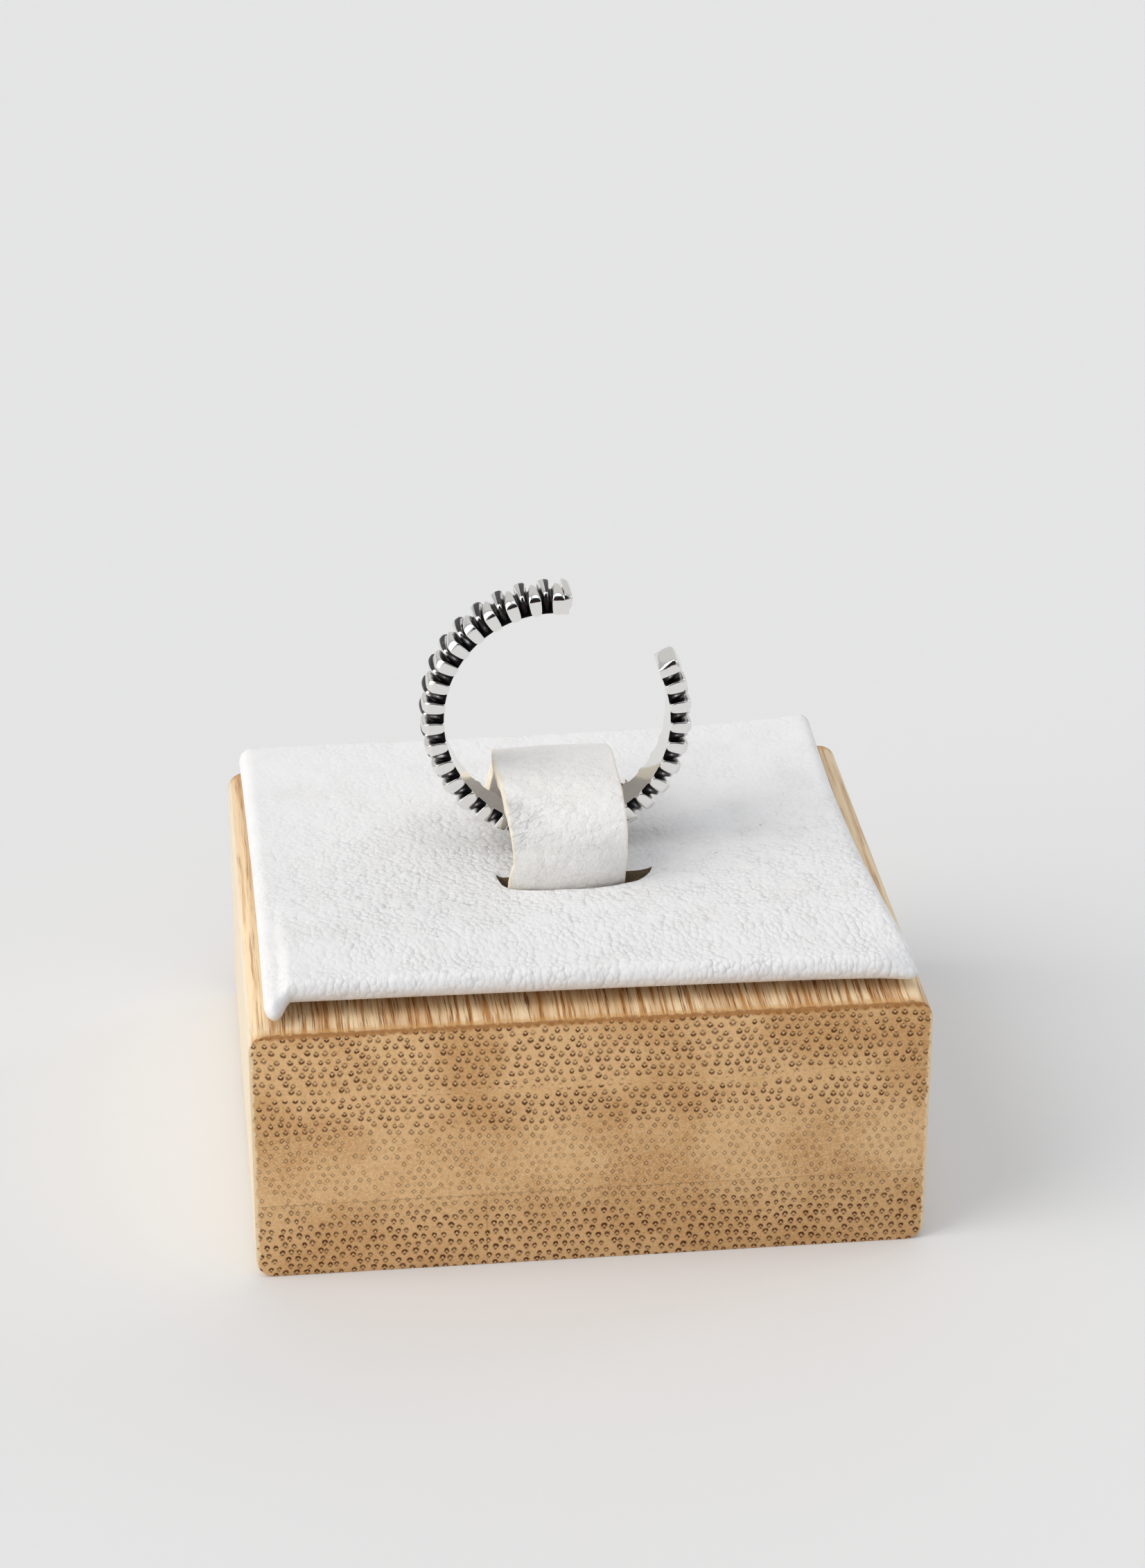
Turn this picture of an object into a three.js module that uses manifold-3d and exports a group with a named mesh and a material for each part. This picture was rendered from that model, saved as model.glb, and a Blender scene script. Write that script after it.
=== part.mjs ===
// An open finger ring of interlocking teeth, held upright by a leather strap on its small display
// block: a bamboo block, a leather-covered pad on top of it, and the strap that loops through the ring.
// Millimetres. The origin is the centre of the block's base, +X to the right, +Y to the back, +Z up.
import * as THREE from 'three';
import { mergeVertices } from 'three/addons/utils/BufferGeometryUtils.js';
import Module from 'manifold-3d';

const { degToRad, lerp, clamp } = THREE.MathUtils;

// ---- Driving dimensions ----

const CLEARANCE = 0.3; // left between pieces that rest on each other

const BLOCK = { width: 50, depth: 43, height: 20.5, edgeRadius: 1.4 };

// The pad lies on the block. Its four sides are drawn in a little between the corners, and the leather
// holds its edges up off the wood in places, which the lifts give.
const PAD = {
  frontLeft: { x: -23.3, y: -19.3 },
  frontRight: { x: 24.1, y: -19.5 },
  backRight: { x: 22.5, y: 20.5 },
  backLeft: { x: -23.9, y: 20.5 },
  drawIn: { front: 0.1, right: 0.35, back: 0.3, left: 0.15 },
  thickness: 2.0,
  cornerRadius: 1.0,
  roll: 0.9, // radius of the wrapped edge
  frontLift: { left: 0.9, right: 0.5, fullness: 8, cornerShare: 0 },
  backLift: { left: 0.7, right: 1.1, fullness: 8, cornerShare: 0.8 },
};
const PAD_TOP = BLOCK.height + CLEARANCE + PAD.thickness;

// The ring's band follows an oval through the middle of its thickness. Across the band, 0 is its front
// edge; heights on the band are counted from its inner surface.
const RING = {
  centreX: -0.24,
  halfAcross: 9.3,
  halfAlong: 9.8,
  turn: degToRad(26), // of the short half axis from +X
  openFrom: degToRad(3.0), // the opening, round the oval from the short half axis
  openTo: degToRad(56),
  front: 0.5,
  width: 3.5,
  thickness: 1.55,
  floor: 1.1, // height of the groove floor
  edge: 0.15, // chamfer along the inner edges
  bevel: 0.3, // chamfer along the outer edges
  endHeight: 0.6, // the rounded ends draw in towards this height
  teeth: 30, // along the front edge; the back edge has one less, half a pitch on
};

// A tooth is widest at its own edge of the band and narrows to a tip short of the other edge. Below
// the tip its end slopes out, so it is longer at the root, on the band's inner surface.
const TOOTH = {
  length: 2.75,
  rootLength: 3.22,
  shoulderAtEdge: 0.42,
  shoulderAtTip: 0.17,
  footAtEdge: 0.5,
  footAtTip: 0.27,
};
// Heights of a tooth's crest and shoulders, from its own edge to its tip.
const TOOTH_PROFILE = [
  { crest: 1.64, shoulder: 1.54 },
  { crest: 1.78, shoulder: 1.64 },
  { crest: 1.78, shoulder: 1.64 },
  { crest: 1.76, shoulder: 1.62 },
  { crest: 1.64, shoulder: 1.48 },
];

// Both ends of the band are rounded over. Front and back are the distances from the nearest tooth's
// middle along the band's two edges, and size is the share of the full section.
const BLUNT_END = [
  { front: 0.56, back: 0.3, size: 0.5 },
  { front: 0.52, back: 0.28, size: 0.74 },
  { front: 0.44, back: 0.2, size: 0.9 },
];
const LONG_END = [
  { front: 1.08, back: 1.08, size: 0.5 },
  { front: 1.02, back: 1.02, size: 0.82 },
  { front: 0.88, back: 0.88, size: 0.97 },
  { front: 0.7, back: 0.7, size: 1 },
];

// The strap's middle line from its front foot to its back foot, with its left and right cut edges.
// Bow is how far the edges fall in behind the middle, because the slots' lips hold the feet curved.
const STRAP = { thickness: 0.9, chamfer: 0.12, steps: 36, spans: 4 };
const STRAP_COURSE = [
  { y: -4.75, z: 20.95, left: -4.38, right: 4.17, bow: 0.8 },
  { y: -4.95, z: 22.85, left: -4.48, right: 4.22, bow: 0.75 },
  { y: -5.4, z: 24.95, left: -4.18, right: 4.37, bow: 0.45 },
  { y: -4.95, z: 26.95, left: -4.33, right: 4.42, bow: 0.25 },
  { y: -3.35, z: 28.2, left: -4.58, right: 4.42, bow: 0.15 },
  { y: -1.1, z: 28.7, left: -4.68, right: 4.42, bow: 0.1 },
  { y: 1.2, z: 29.1, left: -4.88, right: 4.37, bow: 0.1 },
  { y: 3.5, z: 29.35, left: -5.0, right: 4.32, bow: 0.1 },
  { y: 5.9, z: 28.75, left: -4.82, right: 4.32, bow: 0.1 },
  { y: 8.4, z: 27.5, left: -4.58, right: 4.32, bow: 0.05 },
  { y: 10.35, z: 25.65, left: -4.48, right: 4.32, bow: 0.35 },
  { y: 11.2, z: 23.3, left: -4.95, right: 4.3, bow: 0.75 },
  { y: 11.45, z: 21.0, left: -5.1, right: 4.22, bow: 0.8 },
];

// Each slot is a straight cut, and the strap pushes its outer lip into a full bow. The back one gapes.
const SLOT = { cut: 0.1, steps: 20 };
const SLOTS = [
  { left: -5.4, right: 6.5, straight: -2.8, bow: -5.65, fullness: 3.1 },
  { left: -5.7, right: 7.5, straight: 7.1, bow: 12.45, fullness: 5 },
];

// ---- Materials ----

const MATERIALS = {
  silver: new THREE.MeshStandardMaterial({ color: 0xc9c7c2, roughness: 0.18, metalness: 1 }),
  leather: new THREE.MeshStandardMaterial({ color: 0xe9e7e5, roughness: 0.62, metalness: 0 }),
  strapLeather: new THREE.MeshStandardMaterial({ color: 0xe6e1da, roughness: 0.66, metalness: 0 }),
  bamboo: new THREE.MeshStandardMaterial({ color: 0xc3a06c, roughness: 0.55, metalness: 0 }),
};

// ---- Shared geometry ----

// Skins a row of equal loops into one closed body. A fan to the loop's middle closes each end.
function loftedBody(loops) {
  const size = loops[0].length;
  const points = loops.flat();
  const index = [];
  for (let row = 0; row < loops.length - 1; row += 1) {
    for (let side = 0; side < size; side += 1) {
      const here = row * size + side;
      const next = row * size + ((side + 1) % size);
      index.push(here, next, next + size, here, next + size, here + size);
    }
  }
  for (const end of [0, loops.length - 1]) {
    const middle = points.length;
    const sum = loops[end].reduce((total, point) => total.add(point), new THREE.Vector3());
    points.push(sum.divideScalar(size));
    for (let side = 0; side < size; side += 1) {
      const here = end * size + side;
      const next = end * size + ((side + 1) % size);
      index.push(middle, ...(end === 0 ? [next, here] : [here, next]));
    }
  }
  const geometry = new THREE.BufferGeometry().setFromPoints(points);
  geometry.setIndex(index);
  return geometry;
}

// ---- Ring ----

// The middle line of the band, from the end at the top of the ring round to the end at its right.
function bandCurve() {
  const centreZ = PAD_TOP + CLEARANCE + bandDrop();
  const curve = new THREE.EllipseCurve(
    RING.centreX,
    centreZ,
    RING.halfAcross,
    RING.halfAlong,
    RING.openTo,
    RING.openFrom + 2 * Math.PI,
    false,
    RING.turn,
  );
  curve.arcLengthDivisions = 2000;
  return curve;
}

// How far the ring's lowest crest lies below the oval's centre.
function bandDrop() {
  const crest = Math.max(...TOOTH_PROFILE.map((station) => station.crest));
  const across = RING.halfAcross * Math.sin(RING.turn);
  const along = RING.halfAlong * Math.cos(RING.turn);
  return Math.hypot(across, along) + crest - RING.thickness / 2;
}

// One section of the band. u is its place along the band at its front and back ends, v those ends'
// places across the band, roots the same places on the inner surface, and tops the heights of its
// outer surface from front to back.
function bandSection({ u, v, roots, tops, size = 1 }) {
  const [front, back] = v;
  const [frontRoot, backRoot] = roots;
  const middle = { across: (front + back) / 2, height: RING.endHeight };
  const at = (across, height) => new THREE.Vector3(
    lerp(u[0], u[1], (across - front) / (back - front)),
    lerp(middle.across, across, size),
    lerp(middle.height, height, size),
  );
  const outer = tops.map((height, row) => {
    const across = lerp(front, back, row / (tops.length - 1));
    return at(clamp(across, front + RING.bevel, back - RING.bevel), height);
  });
  return [
    at(frontRoot, RING.edge),
    at(front, tops[0] - RING.bevel),
    ...outer,
    at(back, tops.at(-1) - RING.bevel),
    at(backRoot, RING.edge),
    at(backRoot - RING.edge, 0),
    at(frontRoot + RING.edge, 0),
  ];
}

// The five sections of a tooth: foot, shoulder, crest, shoulder, foot. A tooth of the front edge points
// to the back, and one of the back edge to the front. A full tooth reaches across the whole band.
function toothSections(middle, fromFront, full = false) {
  const span = (reach) => (fromFront ? [0, reach] : [RING.width - reach, RING.width]);
  const v = span(full ? RING.width : TOOTH.length);
  const roots = span(full ? RING.width : TOOTH.rootLength);
  const ordered = (values) => (fromFront ? values : [...values].reverse());
  const crest = ordered(TOOTH_PROFILE.map((station) => station.crest));
  const shoulder = ordered(TOOTH_PROFILE.map((station) => station.shoulder));
  const foot = TOOTH_PROFILE.map(() => RING.floor);
  const section = (sign, atEdge, atTip, tops) => ({
    u: ordered([middle + sign * atEdge, middle + sign * atTip]),
    v,
    roots,
    tops,
  });
  return [
    section(-1, TOOTH.footAtEdge, TOOTH.footAtTip, foot),
    section(-1, TOOTH.shoulderAtEdge, TOOTH.shoulderAtTip, shoulder),
    section(0, 0, 0, crest),
    section(1, TOOTH.shoulderAtEdge, TOOTH.shoulderAtTip, shoulder),
    section(1, TOOTH.footAtEdge, TOOTH.footAtTip, foot),
  ];
}

// The rounded end beyond a tooth: sign is -1 before the first tooth and 1 after the last one.
function endSections(middle, sign, stations) {
  const crest = TOOTH_PROFILE.map((station) => station.crest);
  const tops = crest.map((height, row) => Math.max(height, crest[crest.length - 1 - row]));
  return stations.map(({ front, back, size }) => ({
    u: [middle + sign * front, middle + sign * back],
    v: [0, RING.width],
    roots: [0, RING.width],
    tops,
    size,
  }));
}

function ringBand() {
  const curve = bandCurve();
  const length = curve.getLength();
  const first = LONG_END[0].front;
  const pitch = (length - first - BLUNT_END[0].front) / (RING.teeth - 1);
  const sections = endSections(first, -1, LONG_END);
  for (let tooth = 0; tooth < RING.teeth; tooth += 1) {
    const middle = first + tooth * pitch;
    if (tooth < RING.teeth - 1) {
      sections.push(...toothSections(middle, true));
      sections.push(...toothSections(middle + pitch / 2, false));
    } else {
      sections.push(...toothSections(middle, true, true).slice(0, 3));
      sections.push(...endSections(middle, 1, BLUNT_END).reverse());
    }
  }
  const bend = ({ x: along, y: across, z: height }) => {
    const share = clamp(along / length, 0, 1);
    const point = curve.getPointAt(share);
    const tangent = curve.getTangentAt(share);
    const outward = height - RING.thickness / 2;
    return new THREE.Vector3(
      point.x + tangent.y * outward,
      RING.front + across,
      point.y - tangent.x * outward,
    );
  };
  return loftedBody(sections.map((section) => bandSection(section).map(bend)));
}

// ---- Strap ----

function strapLoop() {
  const through = (...keys) => new THREE.CatmullRomCurve3(
    STRAP_COURSE.map((station) => new THREE.Vector3(...keys.map((key) => station[key] ?? 0))),
  );
  const course = through('none', 'y', 'z');
  const edges = through('left', 'right', 'bow');
  const { chamfer } = STRAP;
  const half = STRAP.thickness / 2;
  const loops = [];
  for (let step = 0; step <= STRAP.steps; step += 1) {
    const share = step / STRAP.steps;
    const point = course.getPoint(share);
    const tangent = course.getTangent(share);
    const { x: left, y: right, z: bow } = edges.getPoint(share);
    const corner = (x, out) => {
      const sideways = (2 * (x - left)) / (right - left) - 1;
      const raised = out - bow * sideways ** 2;
      return new THREE.Vector3(x, point.y - tangent.z * raised, point.z + tangent.y * raised);
    };
    const outerFace = [];
    for (let span = 0; span <= STRAP.spans; span += 1) {
      outerFace.push(lerp(left + chamfer, right - chamfer, span / STRAP.spans));
    }
    loops.push([
      corner(left, chamfer - half),
      corner(left, half - chamfer),
      ...outerFace.map((x) => corner(x, half)),
      corner(right, half - chamfer),
      corner(right, chamfer - half),
      ...[...outerFace].reverse().map((x) => corner(x, -half)),
    ]);
  }
  return loftedBody(loops);
}

// ---- Pad ----

// How far the pad is held up off the block at a point.
function padLift(x, y) {
  const rightward = clamp((x - PAD.backLeft.x) / (PAD.frontRight.x - PAD.backLeft.x), 0, 1);
  const toSide = Math.abs(2 * rightward - 1);
  const lift = ({ left, right, fullness, cornerShare }, share) => {
    const bow = 1 - (1 - cornerShare) * toSide ** fullness;
    return lerp(left, right, rightward) * bow * clamp(share, 0, 1) ** 2;
  };
  return lift(PAD.frontLift, y / PAD.frontLeft.y) + lift(PAD.backLift, y / PAD.backLeft.y);
}

// A point of the pad's outline, inset from its edge. Each side is a shallow inward bow between
// rounded corners.
function padOutline(inset, sideSteps = 12, cornerSteps = 3) {
  const radius = Math.max(PAD.cornerRadius - inset, 0.05);
  const shift = inset + radius;
  const corners = [
    { x: PAD.backRight.x - shift, y: PAD.backRight.y - shift, facing: 0, bow: PAD.drawIn.back },
    { x: PAD.backLeft.x + shift, y: PAD.backLeft.y - shift, facing: 0.5, bow: PAD.drawIn.left },
    { x: PAD.frontLeft.x + shift, y: PAD.frontLeft.y + shift, facing: 1, bow: PAD.drawIn.front },
    { x: PAD.frontRight.x - shift, y: PAD.frontRight.y + shift, facing: 1.5, bow: PAD.drawIn.right },
  ];
  const outline = [];
  corners.forEach((corner, number) => {
    const next = corners[(number + 1) % corners.length];
    for (let step = 0; step <= cornerSteps; step += 1) {
      const angle = (corner.facing + 0.5 * (step / cornerSteps)) * Math.PI;
      outline.push([corner.x + radius * Math.cos(angle), corner.y + radius * Math.sin(angle)]);
    }
    const out = (corner.facing + 0.5) * Math.PI;
    for (let step = 1; step < sideSteps; step += 1) {
      const share = step / sideSteps;
      const reach = radius - corner.bow * Math.sin(Math.PI * share);
      outline.push([
        lerp(corner.x, next.x, share) + reach * Math.cos(out),
        lerp(corner.y, next.y, share) + reach * Math.sin(out),
      ]);
    }
  });
  return outline;
}

// Loops from the middle of the underside, round the rolled edge, to the middle of the top.
function padBody() {
  const base = BLOCK.height + CLEARANCE;
  const half = PAD.thickness / 2;
  const loops = [];
  const addLoop = (inset, height) => {
    loops.push(padOutline(inset).map(([x, y]) => new THREE.Vector3(x, y, base + height + padLift(x, y))));
  };
  const insides = [17, 12, 7, 3];
  insides.forEach((inset) => addLoop(inset, 0));
  for (let step = 0; step <= 6; step += 1) {
    const angle = (step / 6) * Math.PI;
    addLoop(PAD.roll * (1 - Math.sin(angle)), half * (1 - Math.cos(angle)));
  }
  [...insides].reverse().forEach((inset) => addLoop(inset, PAD.thickness));
  return loftedBody(loops);
}

// The space that one slot takes out of the pad.
function slotSpace({ left, right, straight, bow, fullness }) {
  const middle = (left + right) / 2;
  const half = (right - left) / 2;
  const side = Math.sign(bow - straight);
  const outline = [
    new THREE.Vector2(right, straight - side * SLOT.cut),
    new THREE.Vector2(left, straight - side * SLOT.cut),
  ];
  for (let step = 0; step <= SLOT.steps; step += 1) {
    const across = -Math.cos((step / SLOT.steps) * Math.PI);
    const full = (1 - Math.abs(across) ** fullness) ** (1 / fullness);
    outline.push(new THREE.Vector2(middle + half * across, lerp(straight, bow, full)));
  }
  const depth = PAD.thickness + 4;
  const space = new THREE.ExtrudeGeometry(new THREE.Shape(outline), { depth, bevelEnabled: false });
  return space.translate(0, 0, BLOCK.height - 1);
}

const wasm = await Module();
wasm.setup();

function toSolid(geometry) {
  const bare = geometry.clone();
  bare.deleteAttribute('normal');
  bare.deleteAttribute('uv');
  const merged = mergeVertices(bare, 1e-4);
  return new wasm.Manifold(new wasm.Mesh({
    numProp: 3,
    vertProperties: new Float32Array(merged.attributes.position.array),
    triVerts: new Uint32Array(merged.index.array),
  }));
}

function fromSolid(solid) {
  const mesh = solid.getMesh();
  const geometry = new THREE.BufferGeometry();
  geometry.setAttribute('position', new THREE.BufferAttribute(mesh.vertProperties, 3));
  geometry.setIndex(new THREE.BufferAttribute(mesh.triVerts, 1));
  return geometry;
}

function slottedPad() {
  return fromSolid(SLOTS.reduce(
    (pad, slot) => pad.subtract(toSolid(slotSpace(slot))),
    toSolid(padBody()),
  ));
}

// ---- Block ----

function displayBlock() {
  const { width, depth, height, edgeRadius } = BLOCK;
  const half = width / 2;
  const face = new THREE.Shape();
  face.moveTo(edgeRadius - half, 0);
  face.lineTo(half - edgeRadius, 0);
  face.absarc(half - edgeRadius, edgeRadius, edgeRadius, -Math.PI / 2, 0);
  face.absarc(half - edgeRadius, height - edgeRadius, edgeRadius, 0, Math.PI / 2);
  face.absarc(edgeRadius - half, height - edgeRadius, edgeRadius, Math.PI / 2, Math.PI);
  face.absarc(edgeRadius - half, edgeRadius, edgeRadius, Math.PI, 1.5 * Math.PI);
  const block = new THREE.ExtrudeGeometry(face, { depth, bevelEnabled: false, curveSegments: 8 });
  return block.rotateX(Math.PI / 2).translate(0, depth / 2, 0);
}

// ---- The whole object ----

const object = new THREE.Group();

function addPart(name, geometry, material) {
  const mesh = new THREE.Mesh(geometry, material);
  mesh.name = name;
  object.add(mesh);
}

addPart('display_block', displayBlock(), MATERIALS.bamboo);
addPart('pad', slottedPad(), MATERIALS.leather);
addPart('strap_loop', strapLoop(), MATERIALS.strapLeather);
addPart('ring_band', ringBand(), MATERIALS.silver);

export default object;
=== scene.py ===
"""An open finger ring standing in the leather strap of a small padded bamboo block.

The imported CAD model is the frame. Each operator below models one piece of it in detail, in metres, in
the same frame, and one more lays out the studio. Run as a script, it builds the whole scene.
"""

import math

import bmesh
import bpy
from mathutils import Matrix, Vector, noise


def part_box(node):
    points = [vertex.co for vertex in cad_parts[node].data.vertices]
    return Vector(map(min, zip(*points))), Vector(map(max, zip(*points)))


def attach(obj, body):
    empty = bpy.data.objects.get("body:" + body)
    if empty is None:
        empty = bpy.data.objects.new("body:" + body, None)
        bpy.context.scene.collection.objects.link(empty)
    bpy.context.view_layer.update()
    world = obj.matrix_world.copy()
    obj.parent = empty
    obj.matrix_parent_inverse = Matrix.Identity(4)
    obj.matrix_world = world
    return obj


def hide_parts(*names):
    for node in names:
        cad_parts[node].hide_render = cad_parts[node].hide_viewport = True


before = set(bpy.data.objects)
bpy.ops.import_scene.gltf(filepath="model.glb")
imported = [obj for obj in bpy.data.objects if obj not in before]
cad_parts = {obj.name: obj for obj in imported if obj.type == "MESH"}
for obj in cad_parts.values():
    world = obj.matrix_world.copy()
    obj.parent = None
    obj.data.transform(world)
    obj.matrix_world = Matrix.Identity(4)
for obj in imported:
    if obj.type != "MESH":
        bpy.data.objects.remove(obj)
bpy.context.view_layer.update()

bl_info = {
    "name": "Ring on a Display Block",
    "version": (1, 0, 0),
    "blender": (4, 5, 0),
    "location": "3D View > Sidebar > Ring Display",
    "description": "Models an open silver ring, its leather strap and pad, and a bamboo display block",
    "category": "Object",
}

MM = 0.001
RING_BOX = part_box("ring_band")
PAD_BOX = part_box("pad")
BLOCK_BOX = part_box("display_block")


# ---- Settings a user would change ----


def length(name, description, size):
    """A length, given in millimetres."""
    return bpy.props.FloatProperty(
        name=name, description=description, default=size * MM, subtype="DISTANCE", unit="LENGTH"
    )


def paint(name, description, *tint):
    """A colour."""
    return bpy.props.FloatVectorProperty(
        name=name, description=description, default=tint, subtype="COLOR"
    )


class RingSettings(bpy.types.PropertyGroup):
    """Sizes and colours of the ring."""

    half_across: length(
        "Half Across", "Half the oval's shorter axis, at the middle of the band", 9.3
    )
    half_along: length("Half Along", "Half the oval's longer axis, at the middle of the band", 9.8)
    turn: bpy.props.FloatProperty(
        name="Turn",
        description="How far the oval is turned round the ring's axis",
        default=math.radians(26),
        subtype="ANGLE",
        unit="ROTATION",
    )
    width: length("Width", "Width of the band from its front edge to its back edge", 3.5)
    polish: paint("Polished Silver", "Colour of the polished faces", 0.86, 0.85, 0.83)
    tarnish: paint("Blackened Silver", "Colour of the blackened recesses", 0.012, 0.011, 0.012)


class StrapSettings(bpy.types.PropertyGroup):
    """Sizes and colours of the strap."""

    thickness: length("Thickness", "Thickness of the strap's leather", 0.86)
    leather: paint("Leather", "Colour of the strap's outer face", 0.93, 0.915, 0.89)
    suede: paint("Suede", "Colour of the strap's inner face", 0.42, 0.31, 0.19)


class PadSettings(bpy.types.PropertyGroup):
    """Sizes and colours of the pad."""

    thickness: length("Thickness", "Height of the pad from its underside to its top", 2.0)
    roll: length("Edge Roll", "Radius of the pad's rolled edge", 0.9)
    leather: paint("Leather", "Colour of the pad's leather", 0.89, 0.885, 0.885)


class BlockSettings(bpy.types.PropertyGroup):
    """Sizes and colours of the display block."""

    edge_radius: length("Edge Radius", "Radius of the four long edges", 1.4)
    end_grain: paint("End Grain", "Colour of the bamboo's cut ends", 0.80, 0.485, 0.225)
    long_grain: paint("Long Grain", "Colour of the bamboo along its fibres", 0.90, 0.70, 0.44)
    # The sides are a paler copy of the long grain's colour: painted light, as the left face is brightly
    # lit. The right face takes the same colour.
    sides: paint(
        "Sides", "Colour of the block's left and right faces, paler than its top", 0.85, 0.74, 0.575
    )


class StageSettings(bpy.types.PropertyGroup):
    """The camera's place, turn and lens."""

    camera_place: bpy.props.FloatVectorProperty(
        name="Camera Place",
        description="Where the camera stands",
        default=(-29.88 * MM, -272.37 * MM, 165.79 * MM),
        subtype="TRANSLATION",
        unit="LENGTH",
    )
    camera_turn: bpy.props.FloatVectorProperty(
        name="Camera Turn",
        description="The camera's pitch down, its roll and its turn to the right",
        default=(math.radians(26.55), math.radians(-0.15), math.radians(6.43)),
        subtype="EULER",
        unit="ROTATION",
    )
    lens: bpy.props.FloatProperty(
        name="Lens",
        description="Focal length on a 36 mm sensor, in millimetres",
        default=92.24,
    )


# ---- Small tools ----


def lerp(a, b, share):
    return a + (b - a) * share


def clamp(value):
    return max(0.0, min(1.0, value))


def smooth(low, high, value):
    share = clamp((value - low) / (high - low))
    return share * share * (3 - 2 * share)


def near(a, b, reach=0.01):
    return abs(a - b) < reach


def start(name):
    """Names the primitive that was just added, and opens it for editing."""
    piece = bpy.context.object
    piece.name = name
    piece.data.name = name
    bpy.ops.object.mode_set(mode="EDIT")
    return piece


def stop():
    bpy.ops.object.mode_set(mode="OBJECT")


def only(*pieces):
    """Selects these objects alone. The last one is active."""
    bpy.ops.object.select_all(action="DESELECT")
    for piece in pieces:
        piece.select_set(True)
        bpy.context.view_layer.objects.active = piece


def pick_all():
    bpy.ops.mesh.select_all(action="SELECT")


def pick(kind, test):
    """Selects what passes a test: points by place, edges by both ends, faces by middle and normal.

    Places are in millimetres.
    """
    bpy.ops.mesh.select_mode(type=kind)
    bpy.ops.mesh.select_all(action="DESELECT")
    data = bpy.context.edit_object.data
    shape = bmesh.from_edit_mesh(data)
    if kind == "VERT":
        found = [point for point in shape.verts if test(point.co / MM)]
    elif kind == "EDGE":
        found = [edge for edge in shape.edges if test(*(end.co / MM for end in edge.verts))]
    else:
        shape.normal_update()
        found = [
            face for face in shape.faces if test(face.calc_center_median() / MM, face.normal)
        ]
    for part in found:
        part.select_set(True)
    shape.select_flush_mode()
    bmesh.update_edit_mesh(data)


def move(x=0.0, y=0.0, z=0.0):
    bpy.ops.transform.translate(value=(x * MM, y * MM, z * MM))


def stretch(x=1.0, y=1.0, z=1.0, about=(0, 0, 0)):
    middle = tuple(value * MM for value in about)
    bpy.ops.transform.resize(value=(x, y, z), center_override=middle)


def flatten(height):
    """Brings the selected points to one height."""
    stretch(z=0, about=(0, 0, height))


def cut(point, normal, **clear):
    """Cuts the whole edited mesh by a plane."""
    pick_all()
    place = tuple(value * MM for value in point)
    way = Vector(normal).normalized()
    bpy.ops.mesh.bisect(plane_co=place, plane_no=way, threshold=0.001 * MM, **clear)


def extrude(z):
    bpy.ops.mesh.extrude_region_move(TRANSFORM_OT_translate={"value": (0, 0, z * MM)})


def round_edges(reach, segments):
    """Bevels the selected edges by a reach in millimetres."""
    bpy.ops.mesh.bevel(offset=reach * MM, segments=segments, profile=0.5, affect="EDGES")


def face_outward():
    pick_all()
    bpy.ops.mesh.normals_make_consistent(inside=False)


def finish_with(piece, kind, **values):
    """Adds a modifier and applies it."""
    only(piece)
    bpy.ops.object.modifier_add(type=kind)
    modifier = piece.modifiers[-1]
    for name, value in values.items():
        setattr(modifier, name, value)
    bpy.ops.object.modifier_apply(modifier=modifier.name)


def settle(piece):
    """Applies the piece's place, turn and scale."""
    only(piece)
    bpy.ops.object.transform_apply(location=True, rotation=True, scale=True)


def shade(degrees):
    bpy.ops.object.shade_smooth_by_angle(angle=math.radians(degrees))


def dress(piece, node, slot, *materials):
    """Puts a finished piece in the place of its CAD node."""
    for material in materials:
        piece.data.materials.append(material)
    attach(piece, "root")
    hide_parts(node)


# ---- Shader tools ----


class Wire:
    """An output of a shader node. A sum written with it adds maths nodes to its tree."""

    def __init__(self, socket):
        self.socket = socket
        self.tree = socket.id_data

    def __add__(self, other):
        return maths("ADD", self, other)

    def __sub__(self, other):
        return maths("SUBTRACT", self, other)

    def __rsub__(self, other):
        return maths("SUBTRACT", other, self)

    def __mul__(self, other):
        return maths("MULTIPLY", self, other)

    def __truediv__(self, other):
        return maths("DIVIDE", self, other)

    def __rtruediv__(self, other):
        return maths("DIVIDE", other, self)

    def __abs__(self):
        return maths("ABSOLUTE", self)


def link(wire, entry):
    wire.tree.links.new(wire.socket, entry)


def add_node(tree, kind, values=(), **settings):
    """Adds a shader node. A value that is a wire is linked, and any other is set."""
    made = tree.nodes.new(kind)
    for name, value in settings.items():
        setattr(made, name, value)
    for name, value in dict(values).items():
        if isinstance(value, Wire):
            link(value, made.inputs[name])
        else:
            made.inputs[name].default_value = value
    return made


def wires(node):
    """A node's outputs by name."""
    return {socket.name: Wire(socket) for socket in node.outputs if socket.enabled}


def maths(operation, *values):
    tree = next(value.tree for value in values if isinstance(value, Wire))
    made = add_node(tree, "ShaderNodeMath", enumerate(values), operation=operation)
    return Wire(made.outputs[0])


def vector_maths(operation, first, second, output="Vector"):
    """Vector arithmetic. The second entry of a SCALE is a number."""
    entries = {0: first, "Scale" if operation == "SCALE" else 1: second}
    made = add_node(first.tree, "ShaderNodeVectorMath", entries, operation=operation)
    return Wire(made.outputs[output])


def ramp(value, low, high, start_value=0.0, end_value=1.0):
    """A smooth step from one value to another."""
    values = {
        "Value": value,
        "From Min": low,
        "From Max": high,
        "To Min": start_value,
        "To Max": end_value,
    }
    made = add_node(value.tree, "ShaderNodeMapRange", values, interpolation_type="SMOOTHSTEP")
    return Wire(made.outputs["Result"])


def mix(share, first, second):
    return Wire(add_node(share.tree, "ShaderNodeMix", {0: share, 2: first, 3: second}).outputs[0])


def blend(share, first, second):
    """Mixes two colours."""
    values = {0: share, 6: first, 7: second}
    return Wire(add_node(share.tree, "ShaderNodeMix", values, data_type="RGBA").outputs[2])


def colour(red, green, blue):
    return (red, green, blue, 1.0)


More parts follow.
